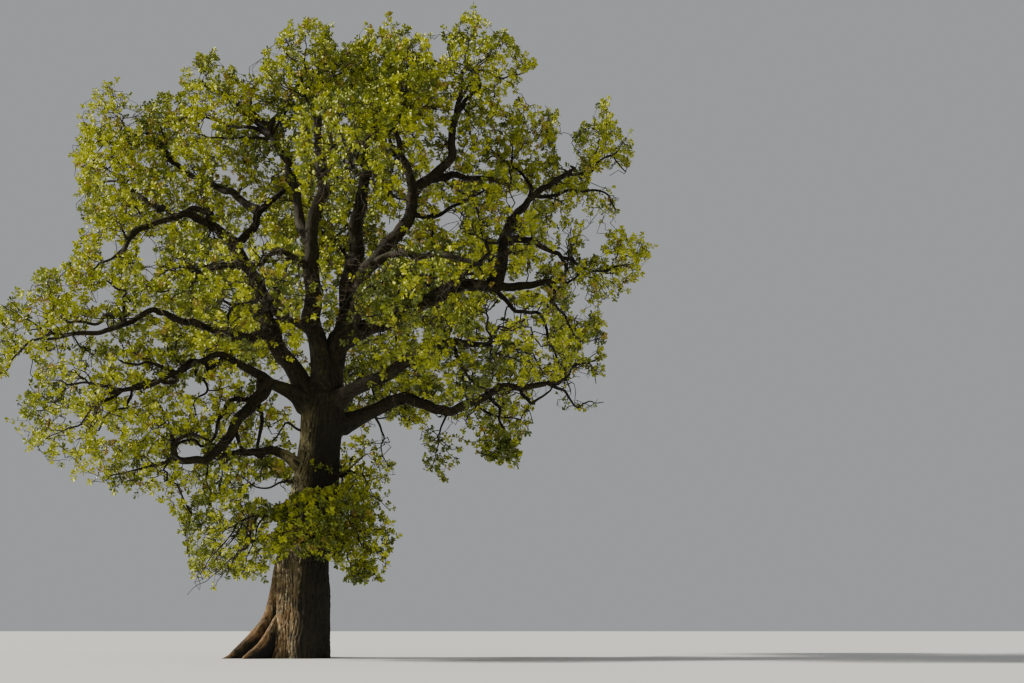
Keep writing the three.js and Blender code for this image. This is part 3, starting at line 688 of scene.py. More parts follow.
class NodeBench:
    """Makes the nodes of one material."""

    MIX_FACTOR, MIX_LOW, MIX_HIGH, MIX_RESULT = 0, 6, 7, 2

    def __init__(self, name: str) -> None:
        """Starts a material of this name with one Principled shader."""
        self.material = bpy.data.materials.new(name)
        self.material.use_nodes = True
        self.tree = self.material.node_tree
        self.shader = next(n for n in self.tree.nodes if n.type == "BSDF_PRINCIPLED")

    def node(self, kind: str, settings: dict, inputs: dict) -> bpy.types.Node:
        """Adds a node, makes its settings, then fills its sockets.

        Args:
            kind: the node's type.
            settings: its properties, by name.
            inputs: values, Signals or sockets, by the input's name or number.

        Returns:
            The node.
        """
        made = self.tree.nodes.new(kind)
        for name, value in settings.items():
            setattr(made, name, value)
        for name, value in inputs.items():
            self.fill(made.inputs[name], value)
        return made

    def fill(self, socket: bpy.types.NodeSocket, value: object) -> None:
        """Sets a socket to a value, or links a Signal or another socket to it."""
        source = value.socket if isinstance(value, Signal) else value
        if isinstance(source, bpy.types.NodeSocket):
            self.tree.links.new(source, socket)
        else:
            socket.default_value = source

    def signal(self, kind: str, settings: dict, inputs: dict, output: str | int = 0) -> Signal:
        """Adds a node and wraps one of its outputs."""
        return Signal(self, self.node(kind, settings, inputs).outputs[output])

    def mix(self, factor: Signal, low: object, high: object) -> bpy.types.NodeSocket:
        """A colour between low, where factor is 0, and high, where it is 1."""
        inputs = {self.MIX_FACTOR: factor, self.MIX_LOW: low, self.MIX_HIGH: high}
        return self.node("ShaderNodeMix", {"data_type": "RGBA"}, inputs).outputs[self.MIX_RESULT]

    def noise(self, places: object, scale: float, detail: float, roughness: float = 0.5) -> Signal:
        """Noise from 0 to 1 at the given places."""
        inputs = {"Vector": places, "Scale": scale, "Detail": detail, "Roughness": roughness}
        return self.signal("ShaderNodeTexNoise", {}, inputs, "Fac")

    def places(self) -> bpy.types.NodeSocket:
        """The Object coordinates."""
        return self.node("ShaderNodeTexCoord", {}, {}).outputs["Object"]

    def finish(self, **sockets: object) -> bpy.types.Material:
        """Fills the shader's sockets, named with _ for a space, and gives the material."""
        for name, value in sockets.items():
            self.fill(self.shader.inputs[name.replace("_", " ").title()], value)
        return self.material


@dataclass(frozen=True)
class BarkFinish:
    """The bark of the trunk and boughs.

    Attributes:
        furrow: colour in the furrows.
        ridge: colour on the ridges.
        weathered_and_sunlit: colour of the ridges low on the trunk's left side and on its roots: partly bark
            bleached by weather, partly painted sunlight on the lit side.
        mossy: colour of the green film in patches on all of it.
        fleck_and_highlight: colour of the small pale plates on the ridges: a few all over, and many on the lit
            left side, where they are painted highlights.
        lichen_and_sunlight: colour of the pale film on the trunk's left side, up to the fork: partly a pale
            growth on the bark, partly painted sunlight on the lit side.
        shaded: painted shade, the colour of the ridges on the trunk's right side, away from the light.
        roughness: of the whole surface.
        lean: how far the trunk's middle moves right for each metre up.
        left_edge: metres right of the trunk's middle between which its wall starts on the left.
        root_top: metres above the ground between which the roots' wear and painted sunlight end.
        fork: metres above the ground between which the trunk's own colours end.
        light_edge: metres right of the middle between which light turns to shade.
    """

    furrow: Colour = (0.005, 0.004, 0.002, 1)
    ridge: Colour = (0.025, 0.018, 0.008, 1)
    weathered_and_sunlit: Colour = (0.190, 0.108, 0.042, 1)
    mossy: Colour = (0.036, 0.035, 0.007, 1)
    fleck_and_highlight: Colour = (0.540, 0.460, 0.290, 1)
    lichen_and_sunlight: Colour = (0.265, 0.230, 0.100, 1)
    shaded: Colour = (0.014, 0.012, 0.006, 1)
    roughness: float = 0.93
    lean: float = 0.05
    left_edge: Span = (-1.25, -1.05)
    root_top: Span = (1.2, 4.6)
    fork: Span = (8.7, 9.6)
    light_edge: Span = (-0.30, 0.15)

    def material(self) -> bpy.types.Material:
        """Ridges and furrows by the relief attribute, patches by noise, paler low on the trunk's lit left side
        in part as painted sunlight, a pale film and pale plates there as painted light, and darker ridges on
        its right side as painted shade.
        """
        bench = NodeBench("oak_bark")
        relief = bench.signal("ShaderNodeAttribute", {"attribute_name": "relief"}, {}, "Fac")
        places = bench.places()
        parts = bench.node("ShaderNodeSeparateXYZ", {}, {"Vector": places})
        height, right = (Signal(bench, parts.outputs[axis]) for axis in "ZX")
        patches = bench.noise(places, 1.3, 4.0)
        grain = bench.noise(places, 9.0, 6.0, 0.7)
        # Partly painted sunlight: warm pale ridges in patches low on the trunk's lit left side.
        low = (1 - height.between(*self.root_top)) * (1 - right.between(-0.5, 0.4))
        worn_and_sunlit = low * patches.between(0.28, 0.62)
        side = right - height * self.lean
        wall = side.between(*self.left_edge) * (1 - height.between(*self.fork))
        # Painted sunlight: a pale film on the trunk's lit left side, faint low down and full from about 6 m up
        # to the fork.
        lit_facing = wall * (0.35 + height.between(5.6, 6.6) * 0.65) * (1 - side.between(-0.45, 0.25))
        ridge = bench.mix(patches.between(0.50, 0.70) * 0.8, self.ridge, self.mossy)
        ridge = bench.mix(lit_facing * patches.between(0.25, 0.60), ridge, self.lichen_and_sunlight)
        ridge = bench.mix(worn_and_sunlit, ridge, self.weathered_and_sunlit)
        drawn = bench.node("ShaderNodeMapping", {}, {"Vector": places, "Scale": (1.0, 1.0, 0.35)})
        plates = bench.noise(drawn.outputs["Vector"], 14.0, 4.0, 0.70)
        # Painted highlights: on the trunk's lit left side the pale plates grow many times more.
        lit = (1 - side.between(*self.light_edge)) * wall
        ridge = bench.mix(plates.between(0.53, 0.65) * (0.06 + 0.70 * lit), ridge, self.fleck_and_highlight)
        # Painted shade: darker ridges on the trunk's right side, below the fork.
        dark = side.between(-0.3, 0.2) * (1 - height.between(8.7, 9.7)) * 0.85
        raised = (relief + (grain - 0.5) * 0.5).between(0.12, 0.95)
        colour = bench.mix(raised, self.furrow, bench.mix(dark, ridge, self.shaded))
        surface = {"Strength": 0.6, "Distance": 0.03, "Height": grain + relief * 0.3}
        bump = bench.node("ShaderNodeBump", {}, surface)
        return bench.finish(base_color=colour, roughness=self.roughness, normal=bump.outputs["Normal"])


@dataclass(frozen=True)
class BranchFinish:
    """The thinner bark of the branches: dark, with paler patches."""

    dark: Colour = (0.008, 0.006, 0.003, 1)
    pale: Colour = (0.036, 0.028, 0.014, 1)
    roughness: float = 0.9

    def material(self) -> bpy.types.Material:
        """Patches by noise, the same in every direction."""
        bench = NodeBench("branch_bark")
        patches = bench.noise(bench.places(), 3.0, 3.0, 0.6)
        colour = bench.mix(patches.between(0.35, 0.75), self.dark, self.pale)
        return bench.finish(base_color=colour, roughness=self.roughness)


class PlainFinish(Enum):
    """The plain colours, each with its roughness.

    Shoots have one, because they are thinner than any pattern on them. The tints of the leaves are dealt to
    the shoots, from the brightest to the deepest, and bronze by chance: the brighter and deeper tints are in
    part painted light and painted shade, dealt by where the shoots stand to the light.
    """

    TWIG_BARK = ((0.060, 0.042, 0.018, 1.0), 0.85)
    FLOOR = ((0.60, 0.60, 0.58, 1.0), 0.9)
    LEAF_LIME = ((0.475, 0.500, 0.022, 1.0), 0.55)
    LEAF_YELLOW_GREEN = ((0.385, 0.415, 0.018, 1.0), 0.55)
    LEAF_FRESH = ((0.290, 0.328, 0.015, 1.0), 0.55)
    LEAF_MID = ((0.195, 0.235, 0.012, 1.0), 0.55)
    LEAF_DEEP = ((0.102, 0.134, 0.008, 1.0), 0.55)
    LEAF_BRONZE = ((0.310, 0.235, 0.020, 1.0), 0.55)

    def material(self) -> bpy.types.Material:
        """The plain material."""
        colour, roughness = self.value
        return NodeBench(self.name.lower()).finish(base_color=colour, roughness=roughness)


TINT_SHARES = (0.20, 0.24, 0.22, 0.18, 0.12, 0.04)


# The trunk and the boughs


def bark_ridges(along: Array, turn: Array, girth: float, width: float) -> Array:
    """How high the bark stands, from 0 in a furrow to 1 on a ridge.

    Furrows lie where sin(count turn / 2 + 4.2 noise) passes through zero: count of them round the limb,
    which wander as they run along it, and join and part. Finer noise, stretched along the limb, breaks the
    ridges into plates.

    Args:
        along: metres along the limb.
        turn: radians round it.
        girth: the cylinder's radius in metres.
        width: a ridge's width in metres.

    Returns:
        The height at each place.
    """
    scale = girth / width
    count = 2 * max(3, round(math.pi * scale / 1.5))
    places = np.stack([np.cos(turn) * scale, np.sin(turn) * scale, along / width / 4], axis=-1)
    wander = 4.2 * LatticeNoise(1)(places * np.array([0.45, 0.45, 0.6]))
    coarse = np.abs(np.sin(count * turn / 2 + wander))
    fine = np.abs(LatticeNoise(2)(places * np.array([1.5, 1.5, 2.0])))
    return np.clip(coarse / 0.80, 0, 1) * 0.54 + np.clip(fine / 0.35, 0, 1) * 0.46


MEAN_RIDGE = 0.6


@dataclass(frozen=True)
class RootSize:
    """One surface root: a round ridge from the trunk's side into the ground, on a fin that stands on it.

    Attributes:
        corners: its middle line and radius, each as (x, y, z, radius) in millimetres.
    """

    corners: Array
    sides: int = 28
    spacing: float = 0.05
    ridge_width: float = 0.06
    ridge_share: float = 0.16
    lump_share: float = 0.12
    height_share: float = 1.2
    fin_power: float = 0.4
    fin_flare: float = 0.35
    fin_shade: float = 0.85
    fin_shade_drop: float = 0.35

    def mesh(self, store: MeshStore) -> None:
        """A ridge along the middle line, with walls straight down from it to the flat cut.

        The ring's point at a turn t stands off by radius (1.2 cos t top + sin t side), where top is square to
        the line and to the side. Where cos t is below zero it stands off to the side alone, at a height of
        1 + cos t times the line's own, so the walls reach the ground where cos t is -1.

        Args:
            store: takes the surface.
        """
        line = self.corners * MM
        route = Route(line[:, :3])
        share = np.linspace(0, 1, int(route.length / self.spacing))
        travel, turn = np.meshgrid(share * route.length, turns(self.sides), indexing="ij")
        radius = np.interp(share, np.linspace(0, 1, len(line)), line[:, 3])[:, None]
        ridges = bark_ridges(travel, turn, float(radius.mean()), self.ridge_width)
        lumps = LatticeNoise(13)(np.stack([np.cos(turn), np.sin(turn), travel * 2.5], axis=-1))
        radius = radius * (1 + self.ridge_share * (ridges - MEAN_RIDGE) + self.lump_share * lumps)
        side = np.cross(unit((line[-1, :3] - line[0, :3]) * (1 - UP)), UP)
        top = unit(np.cross(side, route.along(share)))[:, None]
        up, aside = np.cos(turn)[..., None], np.sin(turn)[..., None]
        drop = np.maximum(-up, 0)
        fin = np.sign(aside) * np.abs(aside) ** self.fin_power * (1 + self.fin_flare * drop)
        out = np.where(drop > 0, fin, aside)
        lift = np.maximum(up, 0) * self.height_share
        wall = route.at(share)[:, None] + (out * side + lift * top) * radius[..., None]
        wall[..., 2] = np.maximum(wall[..., 2], 0) * (1 - drop[..., 0])
        # Painted shade: lower down, the fin's walls lose their relief and take the dark furrow colour.
        ridges = ridges * (1 - self.fin_shade * np.clip(drop[..., 0] / self.fin_shade_drop, 0, 1))
        store.add_bark(wall, ridges)


ROOTS = tuple(RootSize(numbers(4, rows)) for rows in """
-770 -200 4190 115  -890 -300 3320 130  -970 -380 2570 140  -1070 -450 1910 150  -1240 -500 1400 155
-1510 -580 990 155  -1810 -680 630 150  -2140 -800 310 135  -2460 -950 40 105  -2790 -1100 -120 60;
-780 -560 1560 90  -920 -690 1200 110  -1050 -820 880 125  -1180 -930 620 130  -1340 -1040 400 125
-1570 -1180 210 105  -1850 -1340 0 60;
-280 780 2500 120  -480 1120 1300 160  -760 1600 560 170  -1050 2250 200 130  -1280 2850 -60 80;
180 820 2300 120  250 1250 1100 160  290 1850 420 160  360 2400 100 110  420 2800 -80 70;
""".split(";")[:-1])


@dataclass
class Trunk:
    """The trunk, from the flat cut at the ground to its fork, with its buttress roots.

    Attributes:
        runs: the stretches of its middle line, each as (length, rise, heading).
        girth: its mean radius, each as (height, radius) in millimetres.
        painted_hollow_shade: where the bark's relief fades beside the roots, so that it takes the dark furrow
            colour as painted shade and a smoother bump, as heading, spread and climb.
        buttresses: each as heading, reach in millimetres, spread in degrees and climb in millimetres.
    """

    runs: tuple[tuple[float, float, float], ...] = (
        (3600, 90, 0), (3100, 83, 0), (1900, 86, 0), (1300, 86, 0),
    )
    girth: tuple[Span, ...] = (
        (0, 1060), (1400, 1000), (3000, 965), (5000, 920), (7000, 850), (8300, 800), (9200, 850), (9900, 640),
    )
    flutes: int = 5
    flute_share: float = 0.035
    painted_hollow_shade: tuple[float, float, float] = (207, 9, 1500)
    buttresses: tuple[tuple[float, float, float, float], ...] = (
        (180, 260, 12, 600), (206, -130, 8, 900), (229, 180, 13, 1000), (268, 50, 11, 800),
        (302, 170, 13, 500), (338, 110, 12, 500), (12, 60, 13, 700), (62, 320, 13, 800),
        (112, 420, 13, 800), (150, 240, 12, 900),
    )
    roots: tuple[RootSize, ...] = ROOTS
    columns: int = 260
    rows: int = 300
    row_power: float = 1.15
    dome: float = 0.35
    dome_rows: int = 10
    ridge_width: float = 0.095
    ridge_height: float = 0.050
    lump_height: float = 0.045
    route: Route = field(init=False)
    name: str = "trunk"

    def __post_init__(self) -> None:
        """Lays the middle line."""
        self.route = Route.by_runs(np.zeros(3), self.runs, False)

    def plain_radius(self, height: Array) -> Array:
        """The mean radius at heights in metres, without the roots."""
        heights, radii = np.array(self.girth).T * MM
        return np.interp(height, heights, radii)

    def limb_radius(self, share: Array) -> Array:
        """The mean radius at shares of the height, without the roots."""
        return self.plain_radius(share * (self.girth[-1][0] * MM))

    def radius(self, height: Array, angle: Array) -> Array:
        """The surface's distance from the middle line.

        It is the girth at that height, with shallow flutes, plus each buttress's reach, which dies away as
        exp(-height / climb) and as exp(-(turn / spread)^2) round the trunk.

        Args:
            height: metres above the ground.
            angle: radians from +X towards +Y.

        Returns:
            Metres, for each pair.
        """
        base = self.plain_radius(height) * (1 + self.flute_share * np.cos(self.flutes * angle))
        for heading, reach, spread, climb in self.buttresses:
            turn = (np.degrees(angle) - heading + 180) % 360 - 180
            base = base + reach * MM * np.exp(-height / (climb * MM)) * np.exp(-((turn / spread) ** 2))
        return base

    def mesh(self, store: MeshStore) -> None:
        """The trunk's wall, a flat foot and a domed top.

        The wall is a grid of height and angle. Its rows are closer together near the ground. Bark ridges
        are added to the radius. Their relief fades as exp(-away^2 - (height / climb)^2) beside the roots,
        where the bark takes the dark furrow colour as painted shade.

        Args:
            store: takes the surface.
        """
        top = self.girth[-1][0] * MM
        level = np.linspace(0, 1, self.rows) ** self.row_power
        height, turn = np.meshgrid(level * top, turns(self.columns), indexing="ij")
        middle = self.route.at(level)
        ridges = bark_ridges(height, turn, 1.0, self.ridge_width)
        lumps = LatticeNoise(11)(np.stack([2 * np.cos(turn), 2 * np.sin(turn), height * 0.9], axis=-1))
        radius = self.radius(height, turn)
        radius = radius + self.ridge_height * (ridges - MEAN_RIDGE) + self.lump_height * lumps
        ring = np.stack([np.cos(turn), np.sin(turn), np.zeros_like(turn)], axis=-1)
        wall = middle[:, None] + ring * radius[..., None]
        wall[..., 2] = height
        share = np.linspace(0, 1, self.dome_rows + 1)[1:]
        cap = middle[-1] + (wall[-1] - middle[-1]) * np.sqrt(1 - share**2)[:, None, None]
        cap[..., 2] = top + self.dome * share[:, None]
        # Painted shade: beside the roots the relief fades, so the bark takes its dark furrow colour.
        heading, spread, climb = self.painted_hollow_shade
        away = (np.degrees(turn) - heading) / spread
        ridges = ridges * (1 - np.exp(-(away**2) - (height / (climb * MM)) ** 2))
        relief = np.concatenate([ridges, np.repeat(ridges[-1:], self.dome_rows, axis=0)])
        store.add_bark(np.concatenate([wall, cap]), relief, ends=1)
        for root in self.roots:
            root.mesh(store)


@dataclass
class Bough:
    """One crooked tapering bough, with a collar where it leaves its carrier.

    Attributes:
        gnarl: three numbers a, b and c. Its small crooks reach a less b times the foot's radius, and at
            least c, in metres.
        flare_share: how much it flares out on the trunk, and on another bough.
        bark_shift: metres that its bark's pattern is shifted by, times its place on the carrier.
        thick: the share of its length, and the radius there, from which it has more sides.
        detail: sides and spacing of the rings for a thick bough, and for others.
    """

    size: BoughSize
    carrier: Trunk | Bough
    collar_share: float = 0.35
    collar_length: float = 0.6
    flare_share: Span = (0.45, 0.225)
    flare_length: float = 0.38
    knot_share: float = 0.09
    knot_scale: float = 1.7
    bark_shift: float = 7
    ridge_width: float = 0.085
    ridge_height: float = 0.02
    ridge_share: float = 0.12
    tip_share: float = 0.55
    gnarl: tuple[float, float, float] = (0.25, 0.35, 0.08)
    thick: Span = (0.4, 0.15)
    detail: tuple[tuple[int, float], ...] = ((40, 0.07), (24, 0.06))
    samples: int = 200
    route: Route = field(init=False)
    leave: float = field(init=False)

    def __post_init__(self) -> None:
        """Lays the middle line, and finds how far along it the carrier's surface is."""
        self.route = Route.by_runs(self.carrier.route.at(self.size.at), self.size.runs, True)
        most, loss, least = self.gnarl
        self.route.gnarl(max(least, most - loss * self.size.foot * MM))
        shares = np.linspace(0, 1, self.samples)
        gaps = gaps_between(self.route.at(shares), self.carrier.route.at(shares))
        nearest = gaps.argmin(axis=1) / (self.samples - 1)
        inside = gaps.min(axis=1) < self.carrier.limb_radius(nearest)
        self.leave = shares[inside.argmin()] * self.route.length

    @property
    def name(self) -> str:
        """The bough's name."""
        return self.size.name

    def limb_radius(self, share: Array) -> Array:
        """The radius: tip + (foot - tip)(1 - share)^taper, and a collar of exp(-distance / 0.6 m).

        Args:
            share: shares of its length.

        Returns:
            Metres.
        """
        foot, tip = self.size.foot * MM, self.size.tip * MM
        taper = tip + (foot - tip) * (1 - np.minimum(share, 1)) ** self.size.taper
        return taper + foot * self.collar_share * np.exp(-share * self.route.length / self.collar_length)

    def mesh(self, store: MeshStore) -> None:
        """The bough's wall, with a flare where it leaves its carrier, closed at both ends.

        Args:
            store: takes the surface.
        """
        share, limit = self.thick
        sides, spacing = self.detail[0 if self.limb_radius(np.array(share)) > limit else 1]
        share = np.linspace(0, 1, int(self.route.length / spacing))
        travel, turn = np.meshgrid(share * self.route.length, turns(sides), indexing="ij")
        radius = self.limb_radius(share)[:, None]
        shift = self.bark_shift * self.size.at
        ridges = bark_ridges(travel + shift, turn, float(radius.mean()), self.ridge_width)
        lengthwise = travel * self.knot_scale + self.size.foot
        knots = LatticeNoise(12)(np.stack([np.cos(turn), np.sin(turn), lengthwise], axis=-1))
        flare = self.flare_share[0 if self.carrier.name == "trunk" else 1]
        flare = flare * np.exp(-np.abs(travel - self.leave) / self.flare_length)
        relief = np.minimum(self.ridge_height, radius * self.ridge_share) * (ridges - MEAN_RIDGE)
        radius = radius * (1 + flare + self.knot_share * knots) + relief
        radius[-1] *= self.tip_share
        ring = round_about(*across_frames(self.route.along(share), self.route.reference), turn)
        store.add_bark(self.route.at(share)[:, None] + ring * radius[..., None], ridges)


def balls_along(spans: list[tuple[Trunk | Bough, float, float, int]]) -> tuple[Array, Array]:
    """Limbs as balls: evenly spaced points on their middle lines, and the limbs' radii there.

    Args:
        spans: limbs, each with its first share, its last share and how many balls it has.

    Returns:
        (n, 3) middles and (n) radii.
    """
    shares = [(limb, np.linspace(*span)) for limb, *span in spans]
    centres = np.vstack([limb.route.at(share) for limb, share in shares])
    return centres, np.concatenate([limb.limb_radius(share) for limb, share in shares])


class LimbGuard:
    """Tells how far places lie from every limb's surface."""

    SPACING = 0.35
    CHUNK = 2000

    def __init__(self, limbs: list[Trunk | Bough]) -> None:
        """Cuts each limb into balls of its radius."""
        counts = [max(2, int(limb.route.length / self.SPACING)) for limb in limbs]
        self.centres, self.radii = balls_along([(limb, 0, 1, count) for limb, count in zip(limbs, counts)])

    def gap(self, places: Array) -> Array:
        """The distance of each place from the nearest limb's surface, below zero inside a limb."""
        parts = np.array_split(places, max(1, len(places) // self.CHUNK))
        return np.concatenate([(gaps_between(part, self.centres) - self.radii).min(axis=1) for part in parts])


# The photo's view


def ellipse_measure(spots: Array, ellipses: Array) -> Array:
    """The least of ((right - middle) / half wide)^2 + ((up - middle) / half high)^2 over the ellipses.

    Args:
        spots: (n, 2) places in the view.
        ellipses: (m, 4) of right, up, half wide and half high.

    Returns:
        (n) measures, below 1 inside an ellipse.
    """
    least = np.full(len(spots), np.inf)
    for right, up, wide, high in ellipses:
        least = np.minimum(least, ((spots[:, 0] - right) / wide) ** 2 + ((spots[:, 1] - up) / high) ** 2)
    return least


@dataclass(frozen=True)
class Viewpoint:
    """The place that the photo was taken from, and how many degrees it looks up."""

    place: tuple[float, float, float] = (7.96, -49.5, 1.10)
    pitch: float = 12.62

    WANDER = ((4.5, 6.0), (2.4, 2.2))
    NOISES = (LatticeNoise(21), LatticeNoise(22))
    GAP_EDGE = (0.6, 0.8)
    CHUNK = 4000

    def spread(self, points: Array) -> tuple[Array, Array]:
        """Where points stand in the view.

        The distance ahead is y cos pitch + z sin pitch, and the distance up is z cos pitch - y sin pitch,
        both from the viewpoint.

        Args:
            points: (n, 3) places.

        Returns:
            (n, 2) distances right and up in thousandths of the distance ahead, and (n) metres ahead.
        """
        pitch = math.radians(self.pitch)
        offset = points - np.array(self.place)
        ahead = offset[:, 1] * math.cos(pitch) + offset[:, 2] * math.sin(pitch)
        up = offset[:, 2] * math.cos(pitch) - offset[:, 1] * math.sin(pitch)
        return 1000 * np.stack([offset[:, 0], up], axis=1) / ahead[:, None], ahead

    def wandered(self, points: Array) -> Array:
        """Where points stand in the view, moved aside by coarse and fine noise so that no edge is even."""
        moved = spots = self.spread(points)[0]
        for reach, scale in self.WANDER:
            flat = np.concatenate([spots / scale, np.zeros((len(spots), 1))], axis=1)
            moved = moved + reach * np.stack([noise(flat) for noise in self.NOISES], axis=1)
        return moved

    def in_gaps(self, points: Array, chance: Array) -> Array:
        """Whether places lie where the sky shows: at a measure below 0.6 + 0.8 chance, so the edge is soft."""
        inner, more = self.GAP_EDGE
        return ellipse_measure(self.wandered(points), SKY_GAPS) < inner + more * chance

    def in_spots(self, points: Array, ellipses: Array) -> Array:
        """Whether places lie in one of the ellipses in the view."""
        return ellipse_measure(self.spread(points)[0], ellipses) < 1

    def outside(self, points: Array) -> Array:
        """Which places lie outside the canopy's outline.

        A place is outside where a level line from it to the right crosses the outline an even number of
        times.

        Args:
            points: (n, 3) places.

        Returns:
            (n) True or False.
        """
        spots = self.wandered(points)
        here, after = OUTLINE, np.roll(OUTLINE, -1, axis=0)
        climb = after[:, 1] - here[:, 1]
        slope = (after[:, 0] - here[:, 0]) / np.where(climb == 0, 1, climb)
        found = np.empty(len(points), bool)
        for start in range(0, len(points), self.CHUNK):
            part = slice(start, start + self.CHUNK)
            right, up = spots[part, 0:1], spots[part, 1:2]
            spans = (here[:, 1] > up) != (after[:, 1] > up)
            crossing = here[:, 0] + (up - here[:, 1]) * slope
            found[part] = (spans & (right < crossing)).sum(axis=1) % 2 == 0
        return found


class LimbMap:
    """A map of the view that tells which places stand in front of a limb.

    Each cell holds how far ahead the furthest limb there is, or nothing.
    """

    CELL = 0.5
    CORNER = (-460, -260)
    COUNTS = np.array([1260, 1120])
    CLEARANCE = 0.15

    def __init__(self, viewpoint: Viewpoint, centres: Array, radii: Array, margin: float) -> None:
        """Draws each ball of a limb as a disc of cells.

        Args:
            viewpoint: where the limbs are seen from.
            centres: (n, 3) points on their middle lines.
            radii: (n) metres.
            margin: thousandths of the distance beyond the limb's edge that count too.
        """
        self.viewpoint = viewpoint
        self.depth = np.zeros(self.COUNTS)
        cells, ahead = self.cells(centres)
        sizes = np.round((1000 * radii / ahead + margin) / self.CELL).astype(int)
        for size in np.unique(sizes):
            span = np.arange(-size, size + 1)
            disc = np.stack(np.meshgrid(span, span), axis=-1).reshape(-1, 2)
            disc = disc[(disc**2).sum(axis=1) <= size**2]
            mine = np.flatnonzero(sizes == size)
            found = (cells[mine][:, None] + disc[None]).reshape(-1, 2)
            inside = ((found >= 0) & (found < self.COUNTS)).all(axis=1)
            where = (found[inside, 0], found[inside, 1])
            np.maximum.at(self.depth, where, np.repeat(ahead[mine], len(disc))[inside])

    def cells(self, places: Array) -> tuple[Array, Array]:
        """The cell that each place stands in, and how far ahead it is."""
        spots, ahead = self.viewpoint.spread(places)
        return np.floor((spots - self.CORNER) / self.CELL).astype(int), ahead

    def hidden_by(self, places: Array) -> Array:
        """Which of (n, 3) places stand in front of a limb."""
        cells, ahead = self.cells(places)
        cells = np.clip(cells, 0, self.COUNTS - 1)
        return ahead < self.depth[cells[:, 0], cells[:, 1]] - self.CLEARANCE


# Branches, twigs and leaves


@dataclass
class Branching:
    """Trees of branches: each knot's place, its parent, the way that reaches it, and the radius there.

    The first knots are roots, on stems and limbs.
    """

    roots: int
    places: Array
    parents: Array
    arrivals: Array
    radii: Array

    STEPS = 4
    CROOK = 0.12
    TURNING = 0.30
    PATH_SHARE = 0.35
    POWER = 1.95
    LONGEST = 1.75
    CHILD_SHARE = 0.92
    LEAST_SHARE = 0.7
    FOOT_SHARE = 1.35
    BATCHES = 20
    DROPPED = 1e6

    @classmethod
    def grow(
        cls, roots: Array, headings: Array, limits: Array, handicaps: Array, places: Array, twig_radius: float
    ) -> Branching:
        """Joins places into branching trees.

        The places are taken from the nearest to a root to the furthest. Each takes the parent whose
        distance, plus a share for turning, plus a share of the parent's own way back, is the least, and is
        left out where the parent is too far. A branch's radius is twig_radius n^(1 / power), where n is how
        many ends it feeds, and never more than 0.92 of its parent's.

        Args:
            roots: (k, 3) places on stems and limbs.
            headings: (k, 3) the directions that these run in.
            limits: (k) the largest radius of a branch from each.
            handicaps: (k) metres that a root counts as further away than it is.
            places: (n, 3) points to reach.
            twig_radius: metres, at the ends.

        Returns:
            The trees.
        """
        near = [gaps_between(part, roots).min(axis=1) for part in np.array_split(places, cls.BATCHES)]
        first = len(roots)
        knots = np.vstack([roots, places[np.argsort(np.concatenate(near))]])
        count = len(knots)
        parents, paths, arrivals = np.arange(count), np.zeros(count), np.zeros((count, 3))
        paths[:first] = handicaps / cls.PATH_SHARE
        arrivals[:first] = headings
        for i in range(first, count):
            ways = knots[i] - knots[:i]
            far = np.sqrt((ways**2).sum(axis=1))
            turning = 1 - (ways * arrivals[:i]).sum(axis=1) / np.maximum(far, 1e-6)
            parent = int((far * (1 + cls.TURNING * turning) + cls.PATH_SHARE * paths[:i]).argmin())
            parents[i] = parent
            paths[i] = paths[parent] + far[parent]
            arrivals[i] = ways[parent] / max(far[parent], 1e-6)
            if far[parent] > cls.LONGEST:
                knots[i] = cls.DROPPED
        kept = knots[:, 0] < cls.DROPPED
        knots, arrivals, parents = knots[kept], arrivals[kept], (np.cumsum(kept) - 1)[parents[kept]]
        count = len(knots)
        ends = (~np.isin(np.arange(count), parents[first:])).astype(float)
        for i in range(count - 1, first - 1, -1):
            ends[parents[i]] += ends[i]
        radii = twig_radius * np.maximum(ends, 1) ** (1 / cls.POWER)
        radii[:first] = limits
        for i in range(first, count):
            radii[i] = min(radii[i], cls.CHILD_SHARE * radii[parents[i]])
        return cls(first, knots, parents, arrivals, np.maximum(radii, cls.LEAST_SHARE * twig_radius))

    def lines(self, draw: np.random.Generator) -> tuple[Array, Array]:
        """The branches as bent lines with radii, one to each knot but the roots.

        A line leaves its parent between the parent's own direction and its own, as the cubic through both
        ends with those slopes, and its middle points are moved a little aside.

        Args:
            draw: where the offsets come from.

        Returns:
            (n, steps, 3) points and (n, steps) radii.
        """
        own = slice(self.roots, None)
        parent = self.parents[own]
        start, end = self.places[parent], self.places[own]
        span = np.linalg.norm(end - start, axis=1, keepdims=True)
        leave = unit(0.5 * self.arrivals[parent] + self.arrivals[own]) * span
        arrive = self.arrivals[own] * span
        t = np.linspace(0, 1, self.STEPS)[None, :, None]
        lines = (
            (2 * t**3 - 3 * t**2 + 1) * start[:, None]
            + (t**3 - 2 * t**2 + t) * leave[:, None]
            + (3 * t**2 - 2 * t**3) * end[:, None]
            + (t**3 - t**2) * arrive[:, None]
        )
        aside = draw.normal(size=lines.shape) * span[:, None] * self.CROOK
        lines[:, 1:-1] += aside[:, 1:-1]
        foot = np.minimum(self.radii[parent], self.radii[own] * self.FOOT_SHARE)
        return lines, foot[:, None] + (self.radii[own] - foot)[:, None] * np.linspace(0, 1, self.STEPS)


@dataclass
class Shoots:
    """Leafy end twigs, as arrays with one row each."""

    starts: Array
    ways: Array
    lengths: Array

    def chosen(self, keep: Array) -> Shoots:
        """The shoots that a mask or an index picks."""
        return Shoots(self.starts[keep], self.ways[keep], self.lengths[keep])

    def points(self, t: Array) -> Array:
        """Points on each shoot, which is straight: start + length t way."""
        return self.starts[:, None] + t * self.ways[:, None] * self.lengths[:, None, None]


